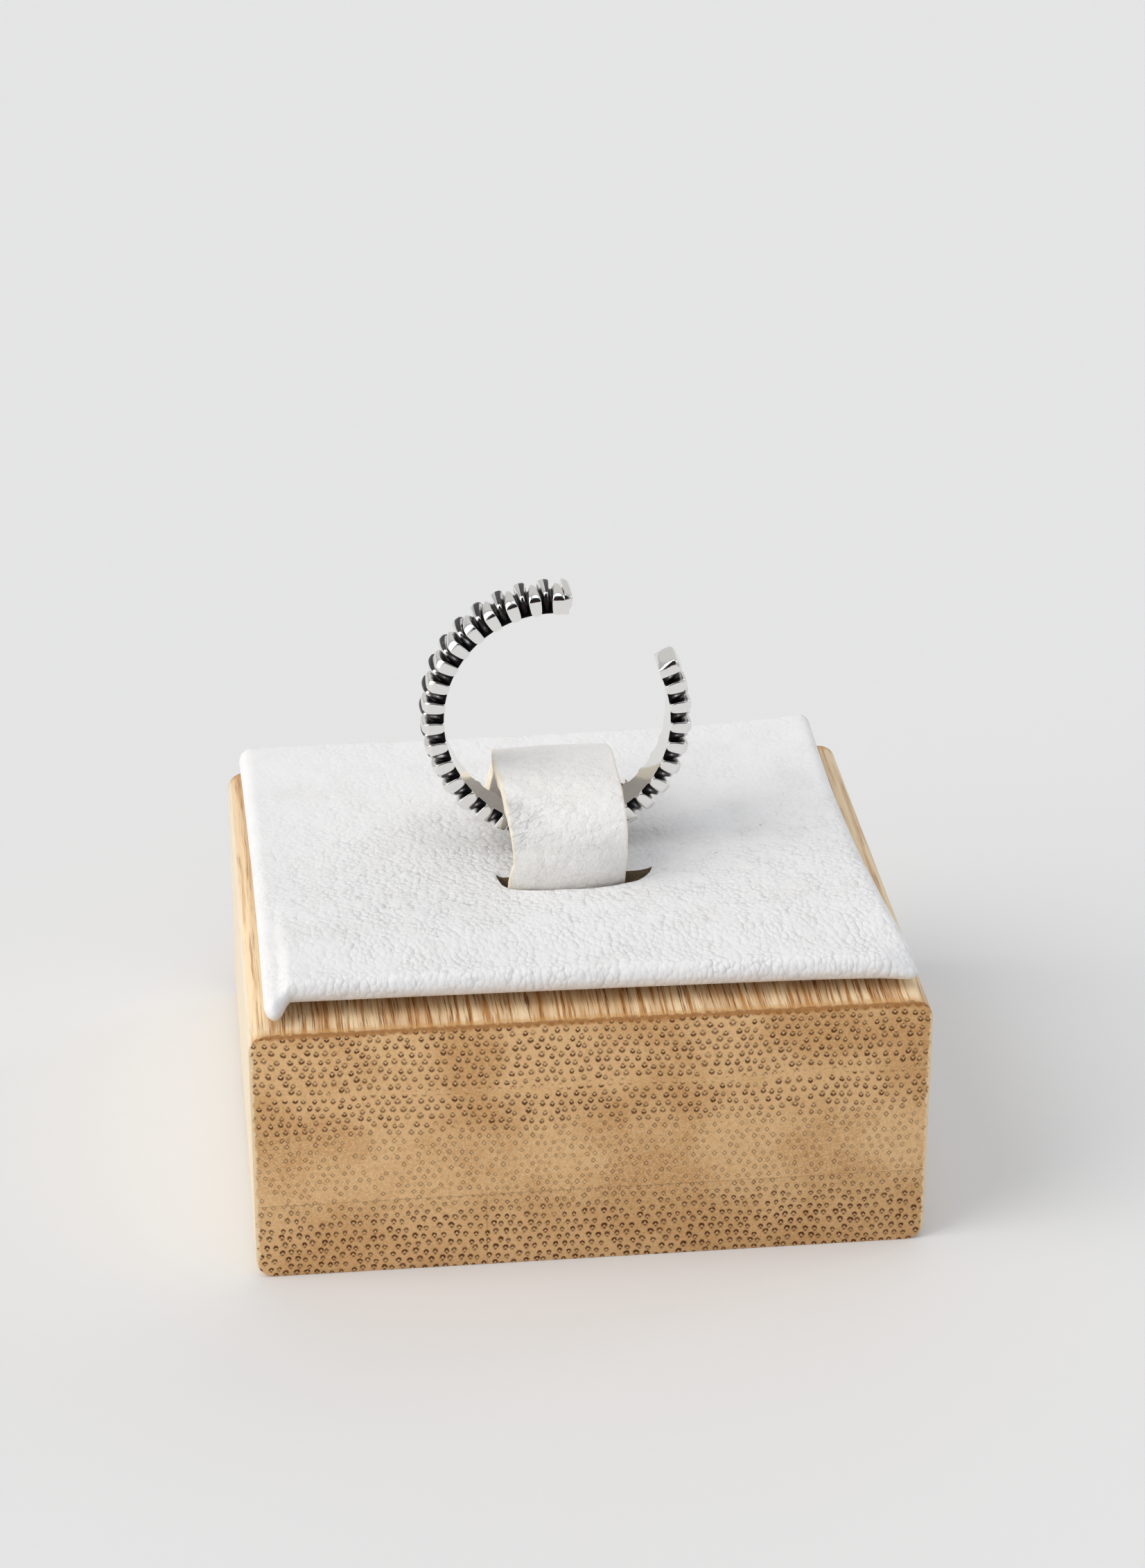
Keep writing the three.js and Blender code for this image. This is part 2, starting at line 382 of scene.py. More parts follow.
def noise_of(vector, scale, detail=2.0, roughness=0.5, output="Fac"):
    values = {"Vector": vector, "Scale": scale, "Detail": detail, "Roughness": roughness}
    return Wire(add_node(vector.tree, "ShaderNodeTexNoise", values).outputs[output])


def drift_of(vector, scale, detail, reach):
    """A slowly changing way, about as long as its reach."""
    way = noise_of(vector, scale, detail, output="Color")
    return vector_maths("SCALE", vector_maths("SUBTRACT", way, (0.5, 0.5, 0.5)), reach)


def cells_of(vector, scale, values=(), **settings):
    """Uneven cells scattered over the surface."""
    values = {"Vector": vector, "Scale": scale, **dict(values)}
    return wires(add_node(vector.tree, "ShaderNodeTexVoronoi", values, **settings))


def split(vector):
    made = add_node(vector.tree, "ShaderNodeSeparateXYZ", {0: vector})
    return [Wire(socket) for socket in made.outputs]


def join(x, y, z):
    return Wire(add_node(x.tree, "ShaderNodeCombineXYZ", {0: x, 1: y, 2: z}).outputs[0])


def attribute(material, name):
    made = add_node(material.node_tree, "ShaderNodeAttribute", attribute_name=name)
    return Wire(made.outputs["Fac"])


def new_group(name, inputs, outputs):
    """An empty shader node group. It reads a Vector and these numbers, and puts out numbers."""
    tree = bpy.data.node_groups.new(name, "ShaderNodeTree")
    add_socket = tree.interface.new_socket
    add_socket(name="Vector", in_out="INPUT", socket_type="NodeSocketVector")
    for label, default in inputs.items():
        socket = add_socket(name=label, in_out="INPUT", socket_type="NodeSocketFloat")
        socket.default_value = default
    for label in outputs:
        add_socket(name=label, in_out="OUTPUT", socket_type="NodeSocketFloat")
    entry, result = tree.nodes.new("NodeGroupInput"), tree.nodes.new("NodeGroupOutput")
    return tree, wires(entry), result.inputs


def use_group(group, values):
    tree = values["Vector"].tree
    return wires(add_node(tree, "ShaderNodeGroup", values, node_tree=group))


def new_material(name):
    """An empty material."""
    material = bpy.data.materials.new(name)
    material.use_nodes = True
    material.node_tree.nodes.clear()
    return material


def millimetres(material):
    """The object's own coordinates, in millimetres."""
    place = Wire(add_node(material.node_tree, "ShaderNodeTexCoord").outputs["Object"])
    return vector_maths("SCALE", place, 1000.0)


def finish_material(material, values, height=None, depth=0.0, strength=1.0):
    """Adds the shader, with a bump whose depth is in millimetres."""
    tree = material.node_tree
    if height:
        relief = {"Height": height, "Distance": depth * MM, "Strength": strength}
        values["Normal"] = Wire(add_node(tree, "ShaderNodeBump", relief).outputs[0])
    shader = Wire(add_node(tree, "ShaderNodeBsdfPrincipled", values).outputs[0])
    add_node(tree, "ShaderNodeOutputMaterial", {"Surface": shader})
    return material


# ---- Shared effects ----


def leather_grain():
    """Pebbled grain: uneven cells, with creases between them that come and go in patches."""
    name = "Leather Grain"
    if name in bpy.data.node_groups:
        return bpy.data.node_groups[name]
    defaults = {"Cell": 0.5, "Crease Width": 0.12, "Fine": 0.3, "Dome": 1.0}
    group, entry, result = new_group(name, defaults, ("Height", "Crease"))
    place = entry["Vector"]
    scale = 1.0 / entry["Cell"]
    drift = drift_of(place, scale * 0.8, 2.0, entry["Cell"] * 0.75)
    drifted = vector_maths("ADD", place, drift)
    edge = cells_of(drifted, scale, feature="DISTANCE_TO_EDGE")["Distance"]
    middle = cells_of(drifted, scale, {"Smoothness": 0.4}, feature="SMOOTH_F1")["Distance"]
    patchy = noise_of(place, scale * 0.22, 3.0)
    crease = ramp(edge, entry["Crease Width"], 0.0) * ramp(patchy, 0.36, 0.62, 0.12, 1.0)
    dome = middle * middle * ramp(patchy, 0.3, 0.7, 0.9, 2.0) * entry["Dome"]
    lumps = noise_of(place, scale * 0.5, 1.0)
    fine = noise_of(place, scale * 3.0) * entry["Fine"]
    link(1.0 - dome - crease * 0.12 + lumps + fine, result["Height"])
    link(crease, result["Crease"])
    return group


def grime():
    """Faint soft stains and small specks, as masks."""
    name = "Faint Grime"
    if name in bpy.data.node_groups:
        return bpy.data.node_groups[name]
    defaults = {"Amount": 0.5, "Speck Size": 0.12}
    group, entry, result = new_group(name, defaults, ("Stain", "Specks"))
    place = entry["Vector"]
    broad = ramp(noise_of(place, 0.22, 3.0, 0.6), 0.45, 0.8)
    spots = cells_of(place, 0.28)["Distance"]
    link(broad * entry["Amount"], result["Stain"])
    link(ramp(spots, 0.02, entry["Speck Size"] * 0.35, 1.0, 0.0), result["Specks"])
    return group


# ---- Materials ----

# Lengths are in millimetres from here on.

# Half-blackened silver: the recesses' half tarnish, and the painted dark reflection on half of each
# back tooth's crown.
HALF_TARNISH_AND_DARK_REFLECTION = colour(0.075, 0.07, 0.072)

PAD_STAIN = colour(0.76, 0.74, 0.72)
PAD_CREASE_SHADE = colour(0.6, 0.57, 0.55)
PAD_SPECK = colour(0.3, 0.25, 0.2)

STRAP_STAIN = colour(0.80, 0.77, 0.72)
STRAP_FOOT_SHADE = colour(0.76, 0.68, 0.59)
STRAP_CRACK = colour(0.40, 0.33, 0.26)
STRAP_PORE = colour(0.42, 0.37, 0.32)
STRAP_MARBLING = colour(0.66, 0.64, 0.62)
STRAP_FOLD_SHADE = colour(0.36, 0.36, 0.38)
STRAP_TURN_SHADE = colour(0.5, 0.51, 0.54)
STRAP_RAW_EDGE = colour(0.92, 0.82, 0.64)

# The first and second colour of each rough side of the leather. The strap's inner face has its first
# one in its settings.
STRAP_SUEDE = (0.62, 0.5, 0.35)
STRAP_EDGE_SUEDE = (0.84, 0.74, 0.56), (0.68, 0.55, 0.36)
PAD_EDGE_SUEDE = (0.19, 0.14, 0.09), (0.38, 0.29, 0.19)

BAMBOO_CLOUD = colour(0.60, 0.305, 0.105)
BAMBOO_LOW_LAYER = colour(0.66, 0.38, 0.16)
BAMBOO_PALE_FUZZ = colour(0.93, 0.69, 0.41)
BAMBOO_BROWN_FUZZ = colour(0.50, 0.255, 0.095)
BAMBOO_BUNDLE = colour(0.115, 0.034, 0.006)
BAMBOO_BUNDLE_DOT = colour(0.95, 0.72, 0.41)
BAMBOO_GLUE = colour(0.2, 0.1, 0.04)
BAMBOO_SCORCH = colour(0.44, 0.19, 0.05)
BAMBOO_PALE_OUTLINE = colour(0.90, 0.70, 0.44)
BAMBOO_HAIR = colour(0.20, 0.075, 0.022)
BAMBOO_FRINGE = colour(0.62, 0.31, 0.08)
BAMBOO_FRINGE_END = colour(0.28, 0.11, 0.03)
# The streaks along the fibres, on the top and on the sides, with their contrast. The sides' paler,
# fainter streaks are painted light.
TOP_STREAK = (0.52, 0.235, 0.065), 1.0
SIDE_STREAK = (0.86, 0.62, 0.40), 0.4

# The block's height, the heights of its two glue lines, and a joint in its lowest layer.
BLOCK_HEIGHT = 20.5
GLUE_LINES = (15.0, 6.1)
LOW_JOINT = -7.9
# The fibre bundles' spacing, and how far their staggered rows close up.
BUNDLE_SPACING = 0.75
STAGGERED_ROW = 0.866
# Keeps a division from meeting nought.
TINY = 0.001


def oxidised_silver(settings):
    """Polished silver. The piece's own tarnish attribute blackens its recesses, and also carries the
    painted dark reflection on half of each back tooth's crown and the painted light reflection beyond
    each tooth's tip.
    """
    material = new_material("Oxidised Silver")
    place = millimetres(material)
    tarnish = attribute(material, "tarnish")
    worn = ramp(noise_of(place, 1.4), 0.3, 0.7, 0.1, -0.1)
    tarnish = tarnish + worn * ramp(tarnish, 0.05, 0.4)
    tint = blend(ramp(tarnish, 0.2, 0.55), colour(*settings.polish), HALF_TARNISH_AND_DARK_REFLECTION)
    tint = blend(ramp(tarnish, 0.6, 0.95), tint, colour(*settings.tarnish))
    smudge = ramp(noise_of(place, 0.9, 3.0), 0.3, 0.7, 0.07, 0.15)
    rough = maths("MAXIMUM", smudge, ramp(tarnish, 0.2, 0.7, 0.08, 0.36))
    ripple = noise_of(place, 2.6, 3.0, 0.55)
    values = {"Base Color": tint, "Metallic": 1.0, "Roughness": rough}
    return finish_material(material, values, ripple, depth=0.02, strength=0.3)


def pad_leather(settings):
    """White pebbled leather. Its cells grow long towards the pad's front edge."""
    material = new_material("Pad Leather")
    place = millimetres(material)
    x, y, z = split(place)
    squeeze = 1.0 - ramp(y, -10.0, -18.0) * 0.15
    grain_values = {
        "Vector": join(x, y * squeeze, z * 0.6),
        "Cell": 0.43,
        "Crease Width": 0.16,
        "Fine": 0.1,
    }
    grain = use_group(leather_grain(), grain_values)
    marks = use_group(grime(), {"Vector": place, "Amount": 0.35})
    tint = blend(marks["Stain"], colour(*settings.leather), PAD_STAIN)
    # The grain's creases are greyed as painted shade, more strongly towards the front.
    tint = blend(grain["Crease"] * ramp(y, -4.0, 14.0, 0.13, 0.03), tint, PAD_CREASE_SHADE)
    tint = blend(marks["Specks"] * 0.5, tint, PAD_SPECK)
    # The leather is pulled smoother towards the back and the left.
    fade = ramp(y, -4.0, 16.0, 1.0, 0.4) * ramp(x, -24.0, -13.0, 0.5, 1.0)
    values = {"Base Color": tint, "Roughness": 0.52}
    return finish_material(material, values, grain["Height"] * fade, depth=0.095, strength=0.9)


def strap_leather(settings):
    """Off-white leather, cracked and grubby, with painted shade in its folds and towards its front
    foot, and its raw edges showing cream.

    The piece's own attributes say how far along and across the strap a point lies.
    """
    material = new_material("Strap Leather")
    place = millimetres(material)
    x, y, z = split(place)
    across, along = attribute(material, "across"), attribute(material, "along")
    grain_values = {"Vector": place, "Cell": 0.6, "Crease Width": 0.05, "Fine": 0.75, "Dome": 0.5}
    grain = use_group(leather_grain(), grain_values)
    marks = use_group(grime(), {"Vector": place, "Amount": 0.5, "Speck Size": 0.2})
    tint = blend(marks["Stain"], colour(*settings.leather), STRAP_STAIN)
    # The leather is darker and warmer towards its front foot, where it goes down into the slot: painted
    # shade.
    tint = blend(ramp(along, 0.14, 0.03) * 0.3, tint, STRAP_FOOT_SHADE)
    broken = ramp(noise_of(place, 1.3, 3.0, 0.7), 0.44, 0.6)
    cracked = grain["Crease"] * ramp(along, 0.28, 0.12, 0.1, 0.34) * broken
    tint = blend(cracked, tint, STRAP_CRACK)
    pores = ramp(cells_of(place, 1.7)["Distance"], 0.13, 0.06)
    tint = blend(pores * 0.3, tint, STRAP_PORE)
    marbled = ramp(noise_of(place, 2.4, 5.0, 0.75), 0.5, 0.72, 0.0, 0.3)
    tint = blend(marbled, tint, STRAP_MARBLING)
    # Fine creases slant across the leather where it turns over, mostly on the left. Their lines are
    # greyed as painted shade.
    slanted = join(x * 0.4, y * 0.5, (z - x * 0.3) * 1.6)
    contour = abs(noise_of(slanted, 1.0, 3.0, 0.6) - 0.5)
    turn = ramp(along, 0.2, 0.26) * ramp(along, 0.45, 0.34)
    fold = ramp(contour, 0.05, 0.0) * ramp(across, 0.1, -0.7) * turn
    tint = blend(fold * 0.28, tint, STRAP_FOLD_SHADE)
    # The left part of the turn is greyed too, as painted shade.
    tint = blend(turn * ramp(across, -0.2, -0.9) * 0.3, tint, STRAP_TURN_SHADE)
    ragged = across + noise_of(place, 2.2, 4.0, 0.7) * 0.14
    skived = ramp(along, 0.13, 0.0, -0.9, -0.78)
    raw = maths("MAXIMUM", ramp(ragged - skived, 0.05, -0.03), ramp(ragged, 1.03, 1.07))
    tint = blend(raw * 0.85, tint, STRAP_RAW_EDGE)
    height = grain["Height"] - fold * 0.35 - pores * 0.3
    values = {"Base Color": tint, "Roughness": 0.5}
    return finish_material(material, values, height, depth=0.1, strength=0.85)


def suede(name, first, second):
    """Fuzzy cut leather, as on an inner face or a cut edge."""
    material = new_material(name)
    place = millimetres(material)
    fibres = noise_of(place, 3.2, 5.0, 0.75)
    patches = noise_of(place, 0.5, 3.0, 0.6)
    share = ramp(fibres * 0.5 + patches * 0.5, 0.38, 0.62)
    values = {"Base Color": blend(share, colour(*first), colour(*second)), "Roughness": 0.9}
    return finish_material(material, values, fibres, depth=0.12, strength=0.9)


def bamboo_end_grain(settings):
    """The cut ends: three glued layers of fibre bundles, crowded on one side of each layer.

    A bundle is a light dot among four dark spots. Where bundles crowd, a dark crescent takes their
    place.
    """
    material = new_material("Bamboo End Grain")
    place = millimetres(material)
    x, _, z = split(place)
    first, second = GLUE_LINES
    first_glue = (noise_of(place, 0.09, 1.0) - 0.5) * 1.2 + first
    in_top = maths("GREATER_THAN", z, first_glue)
    in_low = maths("LESS_THAN", z, second)
    # How deep a point lies in its own layer, from the side where the bundles crowd.
    depth = mix(in_low, mix(in_top, first_glue - z, BLOCK_HEIGHT - z), z)
    dense = depth * ramp(in_top, 0.0, 1.0, 1.0, 0.5) * ramp(in_low, 0.0, 1.0, 1.0, 0.65)
    dense = ramp(dense, 1.2, 5.2, 1.0, 0.0)
    # The bundles stand in staggered rows: the cells are squares of a slanted grid. Each layer's grid
    # starts elsewhere.
    layer = in_top * 3.7 + in_low * 5.3
    drift_x, drift_z, _ = split(drift_of(place, 0.16, 1.0, 1.0))
    row_height = BUNDLE_SPACING * STAGGERED_ROW
    row = (z + drift_z) / row_height
    slanted = join((x + layer + drift_x) / BUNDLE_SPACING - row * 0.5, row, 0.0)
    cells = cells_of(slanted, 1.0, {"Randomness": 0.38}, voronoi_dimensions="2D")
    off_column, off_row, _ = split(vector_maths("SUBTRACT", slanted, cells["Position"]))
    chance, size, _ = split(cells["Color"])
    # Across and up tell where a point lies in its bundle, which reaches to 1 on each side.
    reach = ramp(size, 0.0, 1.0, 0.225, 0.275) * ramp(dense, 0.0, 1.0, 0.8, 1.0)
    across = (off_column + off_row * 0.5) * BUNDLE_SPACING / (reach * 0.94)
    up = off_row * row_height / (reach * 1.1)
    squared = across * across
    radius = maths("SQRT", squared + up * up)
    turned = squared / (radius * radius + TINY)
    spots = 1.0 - turned * (1.0 - turned) * 2.6
    downward = up / (radius + TINY) * ramp(in_low, 0.0, 1.0, -1.0, 1.0)
    tip = ramp(downward, -0.75, -0.97, 0.0, 0.8)
    crescent = maths("MAXIMUM", ramp(downward, -0.6, 0.3, 0.3, 1.0), tip)
    crowded = ramp(dense, 0.15, 0.75, 0.12, 1.0)
    blur = (noise_of(place, 4.0, 3.0, 0.7) - 0.5) * 0.75
    radius = radius + blur
    hole = ramp(radius - ramp(crowded, 0.0, 1.0, 0.15, 0.02), 0.0, 0.4)
    keep = ramp(chance - ramp(dense, 0.8, 0.0, 0.0, 0.16), -0.01, 0.01)
    ring = hole * ramp(radius, 1.12, 0.68) * mix(crowded, spots, crescent) * keep
    strength = ramp(dense, 0.0, 1.0, 0.7, 1.0) * ramp(in_low, 0.0, 1.0, 1.0, 1.15)
    strength = strength * ramp(chance, 0.2, 1.0, 0.75, 1.0)
    # Bundles cut through by the upper glue line fade out towards it.
    strength = strength * ramp(abs(z - first_glue), 0.05, 0.3)

    clouds = ramp(noise_of(place, 0.13, 3.0), 0.4, 0.62)
    fuzz = ramp(noise_of(place, 6.5, 4.0, 0.75), 0.38, 0.62)
    browned = ramp(noise_of(place, 3.1, 4.0, 0.8), 0.5, 0.68)
    loose = ramp(dense, 1.0, 0.0, 0.34, 0.55)
    tint = blend(clouds * 0.9, colour(*settings.end_grain), BAMBOO_CLOUD)
    tint = blend(in_low * 0.3, tint, BAMBOO_LOW_LAYER)
    tint = blend(fuzz * loose, tint, BAMBOO_PALE_FUZZ)
    tint = blend(browned * loose, tint, BAMBOO_BROWN_FUZZ)
    tint = blend(ring * strength, tint, BAMBOO_BUNDLE)
    tint = blend(ramp(radius, 0.36, 0.08) * keep * 0.55, tint, BAMBOO_BUNDLE_DOT)
    line = ramp(abs(z - second), 0.015, 0.06, 0.3, 0.0)
    joint = ramp(abs(x + blur * 0.1 - LOW_JOINT), 0.02, 0.07, 0.3, 0.0) * in_low
    tint = blend(maths("MAXIMUM", line, joint), tint, BAMBOO_GLUE)
    # The ends' outlines are scorched at the top and paler at the sides.
    rough_edge = noise_of(place, 1.8, 3.0, 0.7) * 0.8
    tint = blend(ramp(z + rough_edge, 20.4, 20.75, 0.0, 0.85), tint, BAMBOO_SCORCH)
    tint = blend(ramp(abs(x) + rough_edge, 25.08, 25.26), tint, BAMBOO_PALE_OUTLINE)
    values = {"Base Color": tint, "Roughness": 0.58, "Specular IOR Level": 0.2}
    return finish_material(material, values, fuzz * 0.4 - ring, depth=0.05, strength=0.6)


def bamboo_long_grain(name, base, streak, contrast, sideways):
    """Bamboo along its fibres, which run from front to back. Sideways is 0 on its top, 2 on a side."""
    material = new_material(name)
    place = millimetres(material)
    x, y, z = split(place)
    side = (x, y, z)[sideways] + (noise_of(place, 0.12) - 0.5) * 0.5
    slow = y * 0.025
    broad = noise_of(join(side, slow, 0.0), 2.3, 3.0, 0.7)
    thin = noise_of(join(side, slow, 4.0), 7.5, 3.0, 0.7)
    warm = noise_of(join(side, slow, 9.0), 0.55, 2.0, 0.6)
    # The streaks are fainter along the long edges.
    rim = ramp(abs(x), 22.4, 24.4, contrast, 0.5 * contrast)
    hairs = ramp(thin, 0.5, 0.62) * rim * ramp(broad, 0.42, 0.56, 0.2, 1.0)
    tint = blend(ramp(warm, 0.4, 0.65) * (0.5 * contrast), colour(*base), colour(*streak))
    tint = blend(ramp(broad, 0.47, 0.6) * rim, tint, colour(*streak))
    tint = blend(hairs, tint, BAMBOO_HAIR)
    fringe = abs(y) - 21.5 + noise_of(place, 2.2, 3.0) * 0.9
    tint = blend(ramp(fringe, -0.55, 0.15, 0.0, 0.6 * contrast), tint, BAMBOO_FRINGE)
    tint = blend(ramp(fringe, 0.15, 0.45, 0.0, 0.8 * contrast), tint, BAMBOO_FRINGE_END)
    values = {"Base Color": tint, "Roughness": 0.5}
    return finish_material(material, values, thin, depth=0.03, strength=0.4)


# ---- Ring ----

# The opening is given as angles on the oval, the middle line of the band. The oval is measured in
# steps and bent in spans.
OPEN_FROM = math.radians(3.0)
OPEN_TO = math.radians(56.0)
OVAL_CENTRE_X = -0.24
OVAL_STEPS = 4000
OVAL_SPANS = 64
RING_FRONT = 0.5
# Heights in the band are measured from its inner face.
BAND_MIDDLE = 0.775

TEETH = 29
FIRST_TOOTH = 1.08
LAST_REACH = 0.56
CREST = 1.78
TOOTH_BASE = 1.1
TOOTH_RISE = 0.5
FOOT_AT_EDGE = 0.47
FOOT_AT_TIP = 0.27
SHOULDER_AT_EDGE = 0.44
SHOULDER_AT_TIP = 0.16
TOOTH_LENGTH = 2.75
TIP_SLOPE = 0.1
EDGE_ROUNDING = 0.06
FOOT_CREASE = 0.2
WELD = 0.002
# How far from its own edge each row of a recess lies, with its height.
RECESS = ((0.3, 0.15), (0.5, 0.62))
# Rows that cross the whole band. They mirror each other about its middle, so that the grooves of front
# and back teeth meet point to point.
BAND_ROWS = (0.75, 1.75, 2.75)
# Distance from the tooth's own edge, with the heights of its shoulders and its crest.
TOOTH_ROWS = (
    (0.0, 1.22, 1.24),
    (0.1, 1.39, 1.42),
    (0.3, 1.58, 1.63),
    (0.5, 1.65, 1.73),
    (0.75, 1.68, 1.77),
    (1.75, 1.68, 1.79),
    (2.75, 1.5, 1.62),
)
# Where the joined teeth are closed at each end, measured from the first tooth's start and the last's.
CLOSED_AT = (0.42, -0.1)
# The rounded ends: where they are modelled, how far they run into their neighbouring tooth, how far
# their tops lie under the crests, and the radii of their upper edges and of the rest.
ASIDE = -100.0
END_OVERLAP = 0.09
END_DROP = 0.02
END_CREASE = 0.8
NOSE_SLOPE = 0.15
NOSE_ROLLS = (0.45, 0.33)
SHORT_END_REACH = (0.44, 0.2)
SHORT_END_ROLLS = (0.4, 0.42)
# How black the painted dark reflection on half of each back tooth's crown is, and how black the recess
# stays where a faint light streak, a painted reflection, lies beyond a tooth's tip.
CROWN_REFLECTION_DARKNESS = 0.58
TIP_REFLECTION = 0.25


def oval_point(settings, angle):
    across = settings.half_across / MM * math.cos(angle)
    along = settings.half_along / MM * math.sin(angle)
    return Matrix.Rotation(settings.turn, 2) @ Vector((across, along))


def band_length(settings):
    span = OPEN_FROM + 2 * math.pi - OPEN_TO
    angles = [OPEN_TO + span * step / OVAL_STEPS for step in range(OVAL_STEPS + 1)]
    points = [oval_point(settings, angle) for angle in angles]
    return sum((b - a).length for a, b in zip(points, points[1:]))


def foot(reach):
    """Half the tooth's width at its foot, at a distance from its own edge."""
    return lerp(FOOT_AT_EDGE, FOOT_AT_TIP, reach / TOOTH_LENGTH)


def shoulder(reach):
    return lerp(SHOULDER_AT_EDGE, SHOULDER_AT_TIP, reach / TOOTH_LENGTH)


def model_tooth(width, pitch):
    """One tooth with half the groove on each side of it. Its own edge is at y = 0."""
    gap = pitch / 2 - foot(0) - foot(width)
    half_cell = lambda reach: foot(reach) + gap / 2
    (edge_row, _), (inner_row, _) = RECESS
    bpy.ops.object.select_all(action="DESELECT")
    bpy.ops.mesh.primitive_plane_add(size=2 * MM, location=(0, 0, 0))
    tooth = start("tooth")
    move(y=1)
    stretch(y=(width - edge_row) / 2)
    for side in (-1, 1):
        for half, clear in ((half_cell, True), (foot, False)):
            normal = (side * width, half(0) - half(width), 0)
            cut((side * half(0), 0, 0), normal, clear_outer=clear)
    cut((0, 0, 0), (1, 0, 0))
    lows = [row for row, *_ in TOOTH_ROWS if row < edge_row][1:]
    for row in (*lows, edge_row, inner_row, *BAND_ROWS, width - inner_row):
        cut((0, row, 0), (0, 1, 0))
    pick("FACE", lambda p, n: p.y < edge_row and abs(p.x) > foot(p.y))
    bpy.ops.mesh.delete(type="FACE")
    pick_all()
    extrude(TOOTH_BASE)
    pick("FACE", lambda p, n: near(abs(p.x), half_cell(p.y)) and near(p.z, TOOTH_BASE / 2))
    bpy.ops.mesh.delete(type="FACE")

    # The tooth rises from its foot.
    at_base = lambda p: near(p.z, TOOTH_BASE)
    pick("FACE", lambda p, n: at_base(p) and abs(p.x) < foot(p.y) and p.y < TOOTH_LENGTH)
    extrude(TOOTH_RISE)
    for reach, side_height, crest in TOOTH_ROWS:
        risen = lambda p: near(p.y, reach) and near(p.z, TOOTH_BASE + TOOTH_RISE)
        pick("VERT", lambda p: risen(p) and abs(p.x) > 0.05)
        stretch(x=shoulder(reach) / foot(reach))
        flatten(side_height)
        pick("VERT", lambda p: risen(p) and abs(p.x) < 0.05)
        flatten(crest)
    at_tip = lambda p: near(p.y, TOOTH_LENGTH) and abs(p.x) < foot(p.y) + 0.01
    pick("VERT", lambda p: at_base(p) and at_tip(p))
    move(y=TIP_SLOPE)

    # The recesses fall away to the band's root on each side of the tooth and beyond its tip.
    for row, height in RECESS:
        pick("VERT", lambda p: near(p.y, row) and at_base(p) and abs(p.x) > foot(p.y) - 0.01)
        flatten(height)
        pick("VERT", lambda p: near(p.y, width - row) and at_base(p))
        flatten(height)

    # The flat on the tooth's own edge and the crown's two long edges are slightly rounded.
    high = TOOTH_ROWS[0][1] - 0.01
    at_side = lambda p: abs(p.x) > SHOULDER_AT_EDGE - 0.01
    ridge = lambda p: p.z > high and near(abs(p.x), shoulder(p.y), 0.02)

    def outline(a, b):
        if ridge(a) and ridge(b) and a.x * b.x > 0:
            return True
        on_flat = near(a.y, 0) and near(b.y, 0)
        along_side = at_side(a) and at_side(b) and a.x * b.x > 0
        return on_flat and (along_side or max(a.z, b.z) < 0.01 or min(a.z, b.z) > high)

    pick("EDGE", outline)
    round_edges(EDGE_ROUNDING, 1)
    ground = lambda p: at_base(p) and near(abs(p.x), foot(p.y), 0.02)
    pick("EDGE", lambda a, b: ground(a) and ground(b) and a.x * b.x > 0)
    bpy.ops.transform.edge_crease(value=FOOT_CREASE)
    face_outward()
    stop()
    return tooth


def on_crown(face):
    middle = face.center / MM
    return face.normal.z > 0.25 and middle.z > 1.3 and middle.y < TOOTH_LENGTH


def blacken(piece):
    """Writes how black each corner of each face is.

    Flats, crowns and the inner face stay polished.
    """
    only(piece)
    bpy.ops.geometry.attribute_add(name="tarnish", domain="CORNER", data_type="FLOAT")
    values = piece.data.attributes["tarnish"].data
    for face in piece.data.polygons:
        middle = face.center / MM
        polished = on_crown(face) or near(middle.y, 0) or near(middle.z, 0)
        for corner in face.loop_indices:
            place = piece.data.vertices[piece.data.loops[corner].vertex_index].co / MM
            values[corner].value = 0.0 if polished else blackness(place)


def blackness(place):
    """Full in the recesses, less towards a crest and none beside the tooth's own edge."""
    # Beyond the tooth's tip, a faint light streak in the recess is a painted reflection: its tarnish is
    # held low there.
    beyond_tip = place.y > TOOTH_LENGTH + 0.15 and abs(place.x) < 0.05
    if beyond_tip and 0.4 < place.z < 1.0:
        return TIP_REFLECTION
    value = lerp(1.0, 0.6, smooth(0.9, TOOTH_BASE, place.z)) - 0.45 * smooth(TOOTH_BASE, 1.6, place.z)
    return value * smooth(0.03, 0.14, place.y)


def paint_crown_reflection(piece):
    """Paints one half of the tooth's crown, split along its crest, dark: a painted dark reflection,
    written into the tarnish attribute.
    """
    values = piece.data.attributes["tarnish"].data
    for face in piece.data.polygons:
        if on_crown(face) and face.center.x < 0:
            for corner in face.loop_indices:
                values[corner].value = CROWN_REFLECTION_DARKNESS


def close_ends(band, ends):
    """Draws in the joined teeth's open outlines to a flat end each, and fills them.

    Each end is the place of its flat, with a test of which outline is its own. The two flats are hidden
    in the band's ends. They are given no tarnish, because a filled face takes it from any neighbour.
    """
    for place, is_own in ends:
        bpy.ops.mesh.select_mode(type="EDGE")
        bpy.ops.mesh.select_all(action="DESELECT")
        bpy.ops.mesh.select_non_manifold(extend=False)
        shape = bmesh.from_edit_mesh(band.data)
        for edge in shape.edges:
            middle = (edge.verts[0].co.x + edge.verts[1].co.x) / 2 / MM
            if edge.select and not is_own(middle):
                edge.select_set(False)
        bmesh.update_edit_mesh(band.data)
        bpy.ops.mesh.extrude_edges_move()
        stretch(x=0, about=(place, 0, 0))
        bpy.ops.mesh.edge_face_add()
        shape = bmesh.from_edit_mesh(band.data)
        tarnish = shape.loops.layers.float["tarnish"]
        for face in shape.faces:
            if face.select:
                for corner in face.loops:
                    corner[tarnish] = 0.0
        bmesh.update_edit_mesh(band.data)


